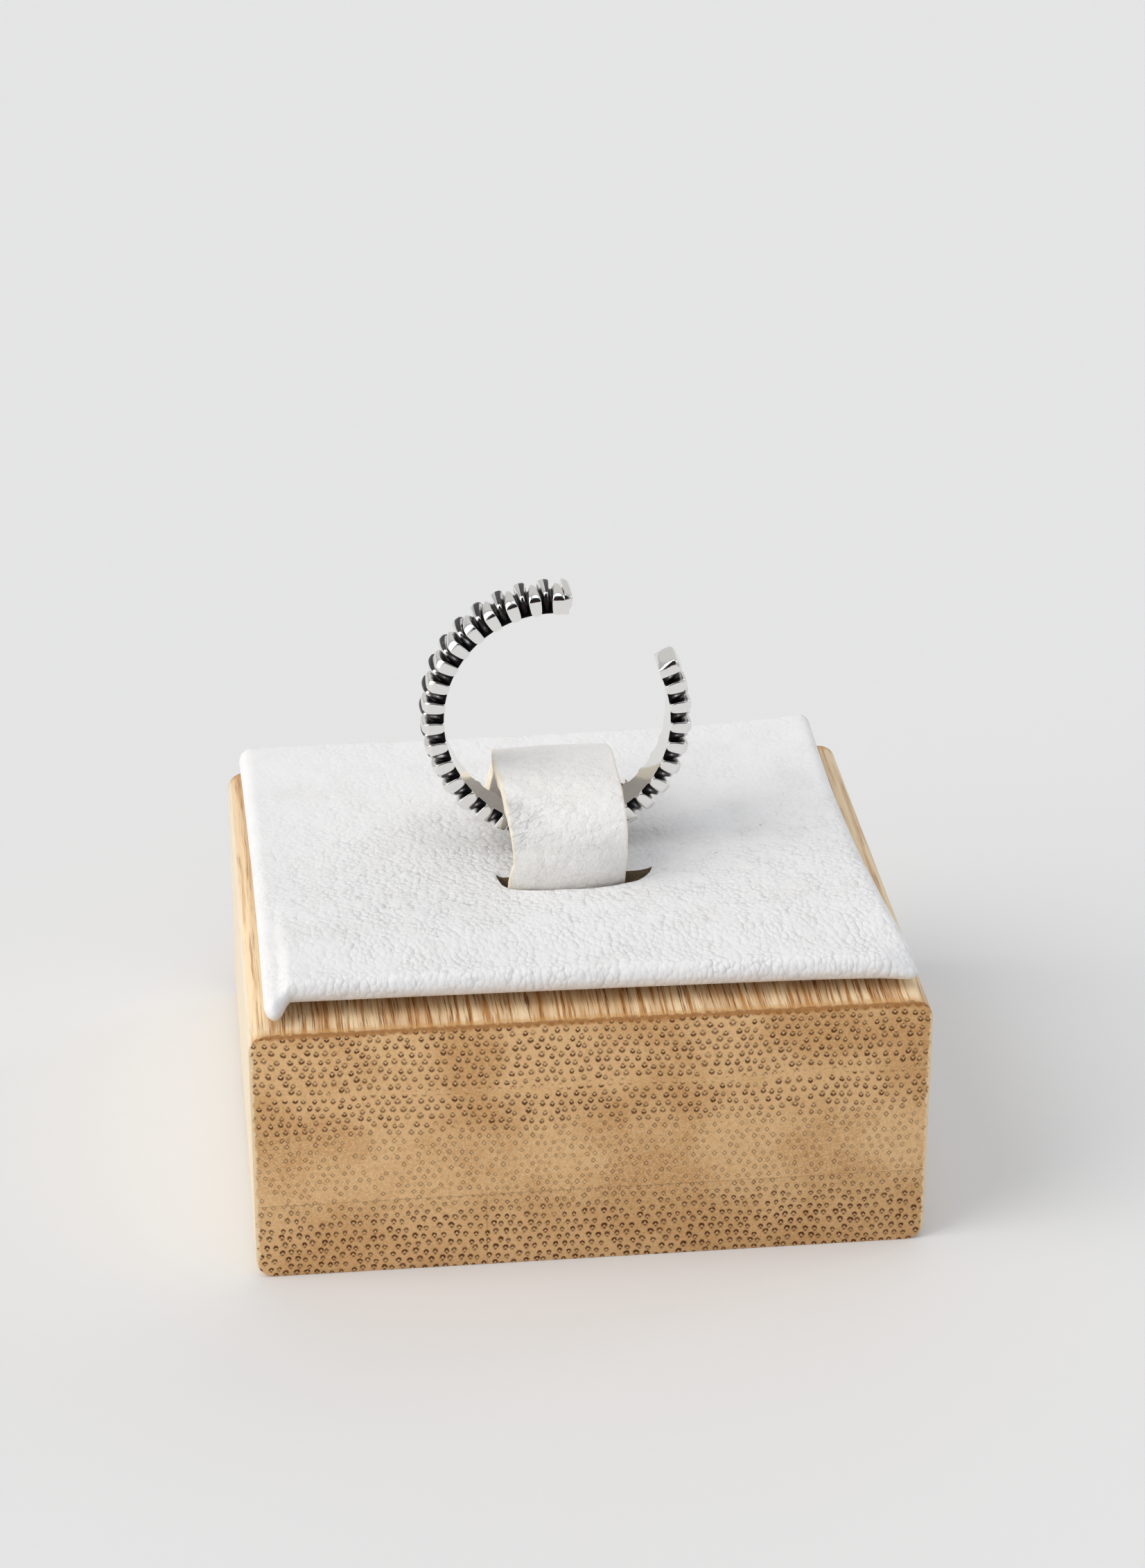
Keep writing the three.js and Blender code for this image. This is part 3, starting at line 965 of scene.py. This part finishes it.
def model_end(name, low, high, rolls):
    """A rounded end of the band: a cube whose corners are moved to their places.

    Its low and high corners are listed anticlockwise from the front left. Each roll is a test that
    finds edges, with the radius that rounds them. The others stay crisp.
    """
    bpy.ops.object.select_all(action="DESELECT")
    bpy.ops.mesh.primitive_cube_add(size=2 * MM, location=(0, 0, 0))
    end = start(name)
    pick_all()
    move(x=ASIDE)
    signs = ((-1, -1), (1, -1), (1, 1), (-1, 1))
    for level, corners in ((-1, low), (1, high)):
        for (side, depth), (x, y, z) in zip(signs, corners):
            is_corner = lambda p: near(p.y, depth) and near(p.z, level)
            pick("VERT", lambda p: near(p.x, ASIDE + side) and is_corner(p))
            move(x=x - ASIDE - side, y=y - depth, z=z - level)
    for rolled, reach in rolls:
        pick("EDGE", rolled)
        round_edges(reach, 2)
    bpy.ops.mesh.select_all(action="DESELECT")
    bpy.ops.mesh.edges_select_sharp(sharpness=math.radians(50))
    bpy.ops.transform.edge_crease(value=END_CREASE)
    face_outward()
    stop()
    return end


class RINGDISPLAY_OT_ring(bpy.types.Operator):
    """Model the open ring: interlocking teeth, a long smooth end and a short rounded end."""

    bl_idname = "ring_display.ring"
    bl_label = "Ring"

    def execute(self, context):
        settings = context.scene.ring_display_ring
        width = settings.width / MM
        pitch = (band_length(settings) - FIRST_TOOTH - LAST_REACH) / TEETH
        last = FIRST_TOOTH + TEETH * pitch

        # The band lies flat: x runs along it, y from its back edge to its front edge, z outward.
        band = self.add_teeth(width, pitch)
        start("silver_ring")
        pick_all()
        bpy.ops.mesh.remove_doubles(threshold=WELD * MM)
        move(x=FIRST_TOOTH)
        near_first, near_last = (lambda x: x < last / 2), (lambda x: x > last / 2)
        close_ends(band, ((CLOSED_AT[0], near_first), (last + CLOSED_AT[1], near_last)))
        stop()
        only(*self.add_ends(width, last), band)
        bpy.ops.object.join()
        finish_with(band, "SUBSURF", levels=2, render_levels=2)

        # The strip is stood on its edge, laid round the oval and stood upright.
        start("silver_ring")
        pick_all()
        move(y=-width - RING_FRONT, z=-BAND_MIDDLE)
        stop()
        band.rotation_euler = (math.pi / 2, 0, 0)
        settle(band)
        oval = self.add_oval(settings)
        finish_with(band, "CURVE", object=oval, deform_axis="POS_X")
        only(oval)
        bpy.ops.object.delete()
        band.rotation_euler = (math.pi / 2, 0, 0)
        settle(band)
        shade(38)
        dress(band, "ring_band", "oxidised_silver", oxidised_silver(settings))
        return {"FINISHED"}

    def add_teeth(self, width, pitch):
        """The row of teeth: one back tooth and one front tooth, half a pitch apart, repeated."""
        tooth = model_tooth(width, pitch)
        blacken(tooth)
        only(tooth)
        bpy.ops.object.duplicate()
        front_tooth = bpy.context.object
        front_tooth.rotation_euler = (0, 0, math.pi)
        front_tooth.location = (0, width * MM, 0)
        # Half of each back tooth's crown is painted dark, as a painted reflection.
        paint_crown_reflection(tooth)
        tooth.location = (pitch / 2 * MM, 0, 0)
        only(front_tooth, tooth)
        bpy.ops.object.transform_apply(location=True, rotation=True, scale=True)
        bpy.ops.object.join()
        band = bpy.context.object
        band.name = "silver_ring"
        finish_with(
            band,
            "ARRAY",
            count=TEETH,
            use_relative_offset=False,
            use_constant_offset=True,
            constant_offset_displace=(pitch * MM, 0, 0),
            use_merge_vertices=True,
            merge_threshold=WELD * MM,
        )
        return band

    def add_ends(self, width, last):
        """The long nose and the short end. Only a fine seam shows between each and its tooth."""
        seam = FIRST_TOOTH - FOOT_AT_EDGE + END_OVERLAP
        top = CREST - END_DROP
        tip = top - NOSE_SLOPE
        upper = lambda a, b: min(a.z, b.z) > 1 and near(a.y, b.y)
        front = lambda a, b: near(a.x, 0) and near(b.x, 0)
        nose = model_end(
            "nose",
            [(0, 0, 0), (seam, 0, 0), (seam, width, 0), (0, width, 0)],
            [(0, 0, tip), (seam, 0, top), (seam, width, top), (0, width, tip)],
            zip((upper, front), NOSE_ROLLS),
        )
        left, right = last - FOOT_AT_EDGE - END_OVERLAP, last + LAST_REACH
        low_right, high_right = (last + reach for reach in SHORT_END_REACH)
        front = lambda a, b: min(a.x, b.x) > last + 0.1
        end = model_end(
            "short_end",
            [(left, 0, 0), (low_right, 0, 0), (right, width, 0), (left, width, 0)],
            [(left, 0, top), (high_right, 0, top), (right, width, top), (left, width, top)],
            zip((upper, front), SHORT_END_ROLLS),
        )
        return nose, end

    def add_oval(self, settings):
        """The band's middle line, as a path from one end of the opening to the other.

        A path starts at its last point, a quarter turn on from its first.
        """
        bpy.ops.object.select_all(action="DESELECT")
        bpy.ops.curve.primitive_bezier_circle_add(radius=MM)
        oval = bpy.context.object
        bpy.ops.object.mode_set(mode="EDIT")
        bpy.ops.curve.select_all(action="SELECT")
        bpy.ops.curve.switch_direction()
        bpy.ops.curve.handle_type_set(type="ALIGNED")
        turn = lambda angle: bpy.ops.transform.rotate(
            value=-angle, orient_axis="Z", center_override=(0, 0, 0)
        )
        turn(OPEN_TO + math.pi)
        axes = (settings.half_across / MM, settings.half_along / MM, 1)
        bpy.ops.transform.resize(value=axes, center_override=(0, 0, 0))
        turn(settings.turn)
        drop = math.hypot(
            settings.half_across * math.sin(settings.turn),
            settings.half_along * math.cos(settings.turn),
        ) + (CREST - BAND_MIDDLE) * MM
        bpy.ops.transform.translate(value=(OVAL_CENTRE_X * MM, RING_BOX[0].z + drop, 0))
        bpy.ops.object.mode_set(mode="OBJECT")
        oval.data.resolution_u = OVAL_SPANS
        oval.data.splines[0].resolution_u = OVAL_SPANS
        return oval


# ---- Strap ----

# The strap's middle line from its front foot to its back foot, with its left and right cut edges and
# how far those edges fall in behind the middle.
STRAP_COURSE = (
    # y, z, left, right, bow
    (-4.75, 20.95, -4.38, 4.17, 0.8),
    (-4.95, 22.85, -4.48, 4.22, 0.75),
    (-5.4, 24.95, -4.18, 4.37, 0.45),
    (-4.95, 26.95, -4.33, 4.42, 0.25),
    (-3.35, 28.2, -4.58, 4.42, 0.15),
    (-1.1, 28.7, -4.68, 4.42, 0.1),
    (1.2, 29.1, -4.88, 4.37, 0.1),
    (3.5, 29.35, -5.0, 4.32, 0.1),
    (5.9, 28.75, -4.82, 4.32, 0.1),
    (8.4, 27.5, -4.58, 4.32, 0.05),
    (10.35, 25.65, -4.48, 4.32, 0.35),
    (11.2, 23.3, -4.95, 4.3, 0.75),
    (11.45, 21.0, -5.1, 4.22, 0.8),
)
STRAP_GRID = (40, 150)
STRAP_ROUNDING = 0.09
STRAP_FRAY = 0.05


def strap_course(share):
    """A smooth curve through the rows of the strap's course, as its value and its rate of change."""
    spans = len(STRAP_COURSE) - 1
    place = clamp(share) * spans
    index = min(int(place), spans - 1)
    t = place - index
    pick_row = lambda row: Vector(STRAP_COURSE[max(0, min(spans, row))])
    a, b, c, d = (pick_row(index + step) for step in (-1, 0, 1, 2))
    if index == 0:
        a = b * 2 - c
    if index == spans - 1:
        d = c * 2 - b
    first, second, third = c - a, 2 * a - 5 * b + 4 * c - d, 3 * b - a - 3 * c + d
    value = 0.5 * (2 * b + first * t + second * t**2 + third * t**3)
    rate = 0.5 * (first + 2 * second * t + 3 * third * t**2)
    return value, rate


class RINGDISPLAY_OT_strap(bpy.types.Operator):
    """Model the leather strap, from its front foot over the band to its back foot."""

    bl_idname = "ring_display.strap"
    bl_label = "Strap"

    def execute(self, context):
        settings = context.scene.ring_display_strap
        bpy.ops.object.select_all(action="DESELECT")
        bpy.ops.mesh.primitive_grid_add(
            x_subdivisions=STRAP_GRID[0], y_subdivisions=STRAP_GRID[1], size=2 * MM
        )
        strap = context.object
        strap.name = strap.data.name = "leather_strap"
        self.shape(strap)
        finish_with(
            strap,
            "SOLIDIFY",
            thickness=settings.thickness,
            offset=0.0,
            material_offset=1,
            material_offset_rim=2,
            use_even_offset=True,
        )
        finish_with(
            strap,
            "BEVEL",
            width=STRAP_ROUNDING * MM,
            segments=2,
            limit_method="ANGLE",
            angle_limit=math.radians(50),
        )
        shade(50)
        dress(
            strap,
            "strap_loop",
            "strap_leather",
            strap_leather(settings),
            suede("Strap Suede", settings.suede, STRAP_SUEDE),
            suede("Strap Cut Edge", *STRAP_EDGE_SUEDE),
        )
        return {"FINISHED"}

    def shape(self, strap):
        """Lays the flat sheet along its course, and notes where on the strap each point lies."""
        across = strap.data.attributes.new("across", "FLOAT", "POINT").data
        along = strap.data.attributes.new("along", "FLOAT", "POINT").data
        for point in strap.data.vertices:
            sideways, share = point.co.x / MM, (point.co.y / MM + 1) / 2
            across[point.index].value, along[point.index].value = sideways, share
            (y, z, left, right, bow), rate = strap_course(share)
            outward = Vector((-rate[1], rate[0])).normalized()
            fray = STRAP_FRAY * noise.noise(Vector((sideways * 0.5, share * 26, 3)))
            x = lerp(left, right, (sideways + 1) / 2) + fray * abs(sideways) ** 6
            raised = self.unevenness(sideways, share) - bow * sideways**2
            point.co = Vector((x, y + outward.x * raised, z + outward.y * raised)) * MM

    def unevenness(self, sideways, share):
        """Soft creases where the leather turns over the crest, and a faint dent across its front."""
        crest = smooth(0.1, 0.25, share) * smooth(0.62, 0.42, share)
        slant = sideways * 4.4 + (share - 0.3) * 34
        creases = 0.07 * crest * smooth(-0.1, -0.6, sideways) * math.sin(slant * 1.5)
        dent = -0.06 * math.exp(-(((share - 0.2 - 0.012 * sideways**2) / 0.012) ** 2))
        lumps = 0.07 * noise.noise(Vector((sideways * 1.3, share * 8, 0)))
        lumps += 0.03 * noise.noise(Vector((sideways * 4.5, share * 30, 4)))
        return creases + dent + lumps


# ---- Pad ----

PAD_GRID = (176, 150)
# The flat sheet is this thick until it is shaped.
FLAT_THICKNESS = 1
# Half the flat sheet's width and depth.
HALF_WIDTH = 23.9
HALF_DEPTH = 20
# Its corners at its widest, and how far each side draws in between them.
PAD_CORNERS = {
    "front left": (-23.75, -19.4),
    "front right": (24.3, -19.8),
    "back right": (22.5, 20.5),
    "back left": (-24.05, 20.6),
}
PAD_DRAW_IN = {"front": 0.1, "right": 0.35, "back": 0.3, "left": 0.15}
PAD_CORNER_RADIUS = 1.0
EAR_WIDTH = 1.45
EAR_REACH = 1.3
# How far the front and back edges are held up off the block, at their left and right ends, how far
# the back right corner curls up besides, and where the two edges lie.
FRONT_LIFT = (0.9, 0.55)
BACK_LIFT = (0.8, 1.1)
CORNER_CURL = 1.1
FRONT_EDGE = -19.3
BACK_EDGE = 20.5
# The share of its height that the pad loses at its pinched front right corner.
PINCH = 0.42
# How far the slots' lips sink.
LIP_SINK = 0.28
# Each slot: left, right, its straight edge, how far its other lip is pushed, and how full the bow is
# on its left and on its right.
SLOTS = (
    (-5.05, 7.0, -2.75, -5.5, 3.0, 1.9),
    (-5.7, 7.5, 7.1, 12.45, 5.0, 5.0),
)
SLOT_FADES = (6.0, 11.0)
# The walls of the slots are the only steep faces in the middle of the pad.
SLOT_AREA = (9, 15)
# How much of the rim is turned: from just over its widest line to its top.
RIM_FROM = 1.06
RIM_TURN = 0.94


class RINGDISPLAY_OT_pad(bpy.types.Operator):
    """Model the padded leather top, with its rolled edges and the two slots that hold the strap."""

    bl_idname = "ring_display.pad"
    bl_label = "Pad"

    def execute(self, context):
        settings = context.scene.ring_display_pad
        self.low = PAD_BOX[0].z / MM
        self.thickness = settings.thickness / MM
        self.roll = settings.roll / MM
        bpy.ops.object.select_all(action="DESELECT")
        bpy.ops.mesh.primitive_grid_add(
            x_subdivisions=PAD_GRID[0], y_subdivisions=PAD_GRID[1], size=2 * MM
        )
        pad = start("leather_pad")
        # Flat, the pad is a plain rectangle in millimetres, with each slot a straight cut.
        pick_all()
        stretch(x=HALF_WIDTH, y=HALF_DEPTH)
        cuts = [self.nearest_row(slot[2]) for slot in SLOTS]
        for (left, right, *_), row in zip(SLOTS, cuts):
            on_cut = lambda p: near(p.y, row, 0.02) and left - 0.15 < p.x < right + 0.15
            pick("EDGE", lambda a, b: on_cut(a) and on_cut(b))
            bpy.ops.mesh.edge_split(type="EDGE")
        pick_all()
        extrude(-FLAT_THICKNESS)
        stop()
        self.shape(pad, cuts)
        only(pad)
        start("leather_pad")
        face_outward()
        stop()
        shade(60)
        dress(
            pad,
            "pad",
            "pad_leather",
            pad_leather(settings),
            suede("Pad Cut Edge", *PAD_EDGE_SUEDE),
        )
        for face in pad.data.polygons:
            x, y, _ = face.center / MM
            if abs(x) < SLOT_AREA[0] and abs(y) < SLOT_AREA[1] and abs(face.normal.z) < 0.6:
                face.material_index = 1
        return {"FINISHED"}

    def nearest_row(self, y):
        step = 2 * HALF_DEPTH / PAD_GRID[1]
        return round((y + HALF_DEPTH) / step) * step - HALF_DEPTH

    def bow(self, slot, x):
        """How far a slot's pushed lip stands from its straight edge at x."""
        left, right, straight, bow, left_fullness, right_fullness = slot
        toward = 2 * (x - left) / (right - left) - 1
        fullness = left_fullness if toward < 0 else right_fullness
        toward = abs(toward)
        if toward >= 1:
            return 0.0
        return (bow - straight) * (1 - toward**fullness) ** (1 / fullness)

    def lift(self, x, y):
        """How far the pad is held up off the block. Its front left corner hangs as an ear."""
        left, right = PAD_CORNERS["front left"][0], PAD_CORNERS["front right"][0]
        rightward = clamp((x - left) / (right - left))
        off_middle = 2 * rightward - 1
        hanging = smooth(EAR_WIDTH + 0.5, EAR_WIDTH - 0.3, x - left)
        front = lerp(*FRONT_LIFT, rightward) * (1 - hanging) * (1 - 0.6 * clamp(off_middle) ** 8)
        back = lerp(*BACK_LIFT, rightward) * (1 - 0.2 * abs(off_middle) ** 8)
        back += CORNER_CURL * rightward**12
        return front * clamp(y / FRONT_EDGE) ** 2 + back * clamp(y / BACK_EDGE) ** 2

    def pinch(self, x, y):
        """How far the leather is drawn down to the sharp front right corner."""
        return smooth(3.2, 0.3, math.hypot(HALF_WIDTH - x, HALF_DEPTH + y))

    def outline(self, x, y):
        """A point of the flat pad, with its distance from the pad's edge."""
        right, back = (x / HALF_WIDTH + 1) / 2, (y / HALF_DEPTH + 1) / 2
        front_left, front_right, back_right, back_left = map(Vector, PAD_CORNERS.values())
        front_side = front_left.lerp(front_right, right)
        back_side = back_left.lerp(back_right, right)
        place = front_side.lerp(back_side, back)
        across, along = math.sin(math.pi * right), math.sin(math.pi * back)
        draw_in = PAD_DRAW_IN
        place.x += draw_in["left"] * along * (1 - right) - draw_in["right"] * along * right
        place.y += draw_in["front"] * across * (1 - back) - draw_in["back"] * across * back
        # The front left corner sticks out as a small ear.
        place.y -= EAR_REACH * smooth(2.0, 0.7, x + HALF_WIDTH) * smooth(3.5, 0.0, y + HALF_DEPTH)
        # The corners are rounded by drawing squares of points in to quarter circles.
        reach = HALF_WIDTH - abs(x), HALF_DEPTH - abs(y)
        radius = PAD_CORNER_RADIUS
        if max(reach) >= radius:
            return place, min(reach)
        inward = Vector((radius - reach[0], radius - reach[1]))
        widest = max(inward)
        shrink = widest / inward.length if inward.length else 1.0
        drawn = inward * (1 - shrink)
        place.x -= math.copysign(drawn.x, x)
        place.y -= math.copysign(drawn.y, y)
        return place, radius - widest

    def shape(self, pad, cuts):
        """Gives the flat, slit sheet its rolled edges, lift, open slots and soft waves."""
        pushed_points = self.pushed_points(pad, cuts)
        for point in pad.data.vertices:
            x, y, z = point.co / MM
            top = z > -FLAT_THICKNESS / 2
            place, reach = self.outline(x, y)
            lip = 0.0
            for slot, row, fade, own in zip(SLOTS, cuts, SLOT_FADES, pushed_points):
                side = math.copysign(1, slot[3] - slot[2])
                beyond = (y - row) * side
                drift = slot[2] - self.outline(x, row)[0].y
                place.y += drift * max(0.0, 1 - abs(beyond) / 4)
                pushed = beyond > 0.001 or point.index in own
                if pushed and beyond < fade:
                    place.y += self.bow(slot, x) * (1 - beyond / fade)
                opening = clamp(abs(self.bow(slot, x)) / 1.5)
                lip = max(lip, opening * smooth(0.9, 0.0, abs(beyond)))
            angle = math.pi / 2 * (RIM_FROM + RIM_TURN * clamp(reach / self.roll))
            if not top:
                angle = math.pi - angle
            inset = self.roll * (1 - math.sin(angle)) - min(reach, self.roll)
            height = self.thickness / 2 * (1 - math.cos(angle))
            height *= 1 - PINCH * self.pinch(x, y)
            place += self.inward(x, y) * inset
            if top:
                height -= LIP_SINK * lip
                height += self.waves(place, reach)
            point.co = Vector((*place, self.low + height + self.lift(*place))) * MM

    def pushed_points(self, pad, cuts):
        """The points on each slot's pushed lip, which its cut split from those of its straight lip."""
        pushed = [set() for _ in cuts]
        for face in pad.data.polygons:
            if abs(face.normal.z) < 0.5:
                continue
            for own, slot, row in zip(pushed, SLOTS, cuts):
                side = math.copysign(1, slot[3] - slot[2])
                if (face.center.y / MM - row) * side > 0:
                    for index in face.vertices:
                        if near(pad.data.vertices[index].co.y / MM, row, 0.001):
                            own.add(index)
        return pushed

    def inward(self, x, y):
        """The way from a point near the rim to the pad's middle."""
        soft = PAD_CORNER_RADIUS + self.roll
        across = clamp((soft - (HALF_WIDTH - abs(x))) / soft)
        along = clamp((soft - (HALF_DEPTH - abs(y))) / soft)
        way = Vector((-math.copysign(across, x), -math.copysign(along, y)))
        return way.normalized() if way.length else way

    def waves(self, place, reach):
        """Soft unevenness of the leather, with a few wrinkles to the right of the strap."""
        x, y = place
        broad = 0.10 * noise.noise(Vector((x * 0.16, y * 0.16, 1.5)))
        small = 0.035 * noise.noise(Vector((x * 0.9, y * 0.7, 5)))
        right_of_strap = smooth(4.5, 7, x) * smooth(16, 10, x) * smooth(9, 3, abs(y - 2))
        wrinkles = 0.05 * right_of_strap * noise.noise(Vector((x * 0.35, y * 1.5, 8)))
        return smooth(0.0, 2.0, reach) * (broad + small + wrinkles)


# ---- Display block ----

END_ROUNDING = 0.07


class RINGDISPLAY_OT_block(bpy.types.Operator):
    """Model the laminated bamboo block, with its rounded long edges."""

    bl_idname = "ring_display.block"
    bl_label = "Display Block"

    def execute(self, context):
        settings = context.scene.ring_display_block
        low, high = (corner / MM for corner in BLOCK_BOX)
        bpy.ops.object.select_all(action="DESELECT")
        bpy.ops.mesh.primitive_cube_add(size=2 * MM, location=(0, 0, 0))
        block = start("bamboo_block")
        pick_all()
        stretch(*((high - low) / 2))
        move(*((high + low) / 2))
        pick("EDGE", lambda a, b: near(a.x, b.x) and near(a.z, b.z))
        round_edges(settings.edge_radius / MM, 8)
        pick("FACE", lambda p, n: abs(n.y) > 0.9)
        bpy.ops.mesh.region_to_loop()
        round_edges(END_ROUNDING, 2)
        stop()
        dress(
            block,
            "display_block",
            "bamboo",
            bamboo_end_grain(settings),
            bamboo_long_grain("Bamboo Top", settings.long_grain, *TOP_STREAK, sideways=0),
            # The sides' paler colour and fainter streaks are painted light.
            bamboo_long_grain("Bamboo Side", settings.sides, *SIDE_STREAK, sideways=2),
        )
        for face in block.data.polygons:
            if abs(face.normal.y) > 0.9:
                face.material_index = 0
            elif abs(face.normal.z) > 0.5:
                face.material_index = 1
            else:
                face.material_index = 2
        only(block)
        shade(30)
        return {"FINISHED"}


# ---- Studio ----

FLOOR_SIZE = 6.0
FLOOR_COLOUR = colour(0.82, 0.82, 0.82)
SENSOR_WIDTH = 36
CLIP_METRES = (0.01, 20)
# Soft patches of the room: the way to each, the angles where it is full and where it ends, and its
# light.
ROOM = colour(0.60, 0.61, 0.63)
ROOM_BRIGHTNESS = 0.805
PATCHES = (
    ("pale back", (0.1, 0.86, 0.5), 24, 44, (0.80, 0.79, 0.77)),
    ("overhead", (0.05, -0.12, 0.99), 11, 20, (2.4, 2.5, 2.7)),
    ("left wall", (-0.9, -0.22, 0.37), 14, 34, (3.0, 2.95, 2.85)),
    ("left window", (-0.66, -0.18, 0.73), 15, 24, (4.2, 4.1, 3.9)),
    ("right lamp", (0.86, 0.36, 0.36), 6, 10, (4.5, 4.6, 4.8)),
)
# The dark end of the room, which shows in the polished metal more than it dims the rest.
DARK_END = (
    ("dark front", (0.08, -0.84, 0.54), 30, 38, (0.02, 0.02, 0.022)),
    ("dark red", (0.1, -0.99, 0.08), 12, 18, (0.07, 0.018, 0.018)),
)
DARK_FOR_ROUGH = 0.15


class RINGDISPLAY_OT_stage(bpy.types.Operator):
    """Lay the pale floor, light the room around it and place the camera."""

    bl_idname = "ring_display.stage"
    bl_label = "Studio"

    def execute(self, context):
        settings = context.scene.ring_display_stage
        bpy.ops.object.select_all(action="DESELECT")
        bpy.ops.mesh.primitive_plane_add(size=FLOOR_SIZE, location=(0, 0, 0))
        floor = context.object
        floor.name = "floor"
        values = {"Base Color": FLOOR_COLOUR, "Roughness": 0.8}
        floor.data.materials.append(finish_material(new_material("Floor"), values))

        self.set_world(context)

        pitch, roll, turn = settings.camera_turn
        bpy.ops.object.camera_add(location=settings.camera_place)
        camera = context.object
        camera.rotation_mode = "QUATERNION"
        level = Matrix.Rotation(-turn, 4, "Z") @ Matrix.Rotation(math.pi / 2 - pitch, 4, "X")
        camera.rotation_quaternion = (level @ Matrix.Rotation(-roll, 4, "Z")).to_quaternion()
        camera.data.sensor_width = SENSOR_WIDTH
        camera.data.lens = settings.lens
        camera.data.clip_start, camera.data.clip_end = CLIP_METRES
        context.scene.camera = camera
        context.scene.view_settings.view_transform = "Standard"
        return {"FINISHED"}

    def set_world(self, context):
        """A pale room with soft lights in it, dark only in front."""
        world = bpy.data.worlds.new("Studio")
        world.use_nodes = True
        context.scene.world = world
        tree = world.node_tree
        tree.nodes.clear()
        way = Wire(add_node(tree, "ShaderNodeTexCoord").outputs["Generated"])
        glossy = Wire(add_node(tree, "ShaderNodeLightPath").outputs["Is Glossy Ray"])
        shiny = ramp(glossy, 0.0, 1.0, DARK_FOR_ROUGH, 1.0)
        room = ROOM
        for patches, limit in ((PATCHES, None), (DARK_END, shiny)):
            for _, toward, full, end, light in patches:
                toward = Vector(toward).normalized()
                facing = vector_maths("DOT_PRODUCT", way, toward, output="Value")
                edges = (math.cos(math.radians(angle)) for angle in (end, full))
                share = ramp(facing, *edges)
                room = blend(share * limit if limit else share, room, colour(*light))
        values = {"Color": room, "Strength": ROOM_BRIGHTNESS}
        background = Wire(add_node(tree, "ShaderNodeBackground", values).outputs[0])
        add_node(tree, "ShaderNodeOutputWorld", {"Surface": background})


# ---- Sidebar, registration and the whole build ----


class RINGDISPLAY_PT_sidebar(bpy.types.Panel):
    """Lists the pieces, each with its settings."""

    bl_idname = "RINGDISPLAY_PT_sidebar"
    bl_label = "Ring Display"
    bl_space_type = "VIEW_3D"
    bl_region_type = "UI"
    bl_category = "Ring Display"

    def draw(self, context):
        for operator, settings_name in STEPS:
            box = self.layout.box()
            box.operator(operator.bl_idname)
            settings = getattr(context.scene, settings_name)
            for name in settings.__annotations__:
                box.prop(settings, name)


STEPS = (
    (RINGDISPLAY_OT_block, "ring_display_block"),
    (RINGDISPLAY_OT_pad, "ring_display_pad"),
    (RINGDISPLAY_OT_strap, "ring_display_strap"),
    (RINGDISPLAY_OT_ring, "ring_display_ring"),
    (RINGDISPLAY_OT_stage, "ring_display_stage"),
)
SETTINGS = {
    "ring_display_ring": RingSettings,
    "ring_display_strap": StrapSettings,
    "ring_display_pad": PadSettings,
    "ring_display_block": BlockSettings,
    "ring_display_stage": StageSettings,
}


def register():
    for name, settings in SETTINGS.items():
        bpy.utils.register_class(settings)
        setattr(bpy.types.Scene, name, bpy.props.PointerProperty(type=settings))
    for operator, _ in STEPS:
        bpy.utils.register_class(operator)
    bpy.utils.register_class(RINGDISPLAY_PT_sidebar)


def unregister():
    bpy.utils.unregister_class(RINGDISPLAY_PT_sidebar)
    for operator, _ in reversed(STEPS):
        bpy.utils.unregister_class(operator)
    for name, settings in SETTINGS.items():
        delattr(bpy.types.Scene, name)
        bpy.utils.unregister_class(settings)


def main():
    register()
    for operator, _ in STEPS:
        group, name = operator.bl_idname.split(".")
        getattr(getattr(bpy.ops, group), name)()


if __name__ == "__main__":
    main()
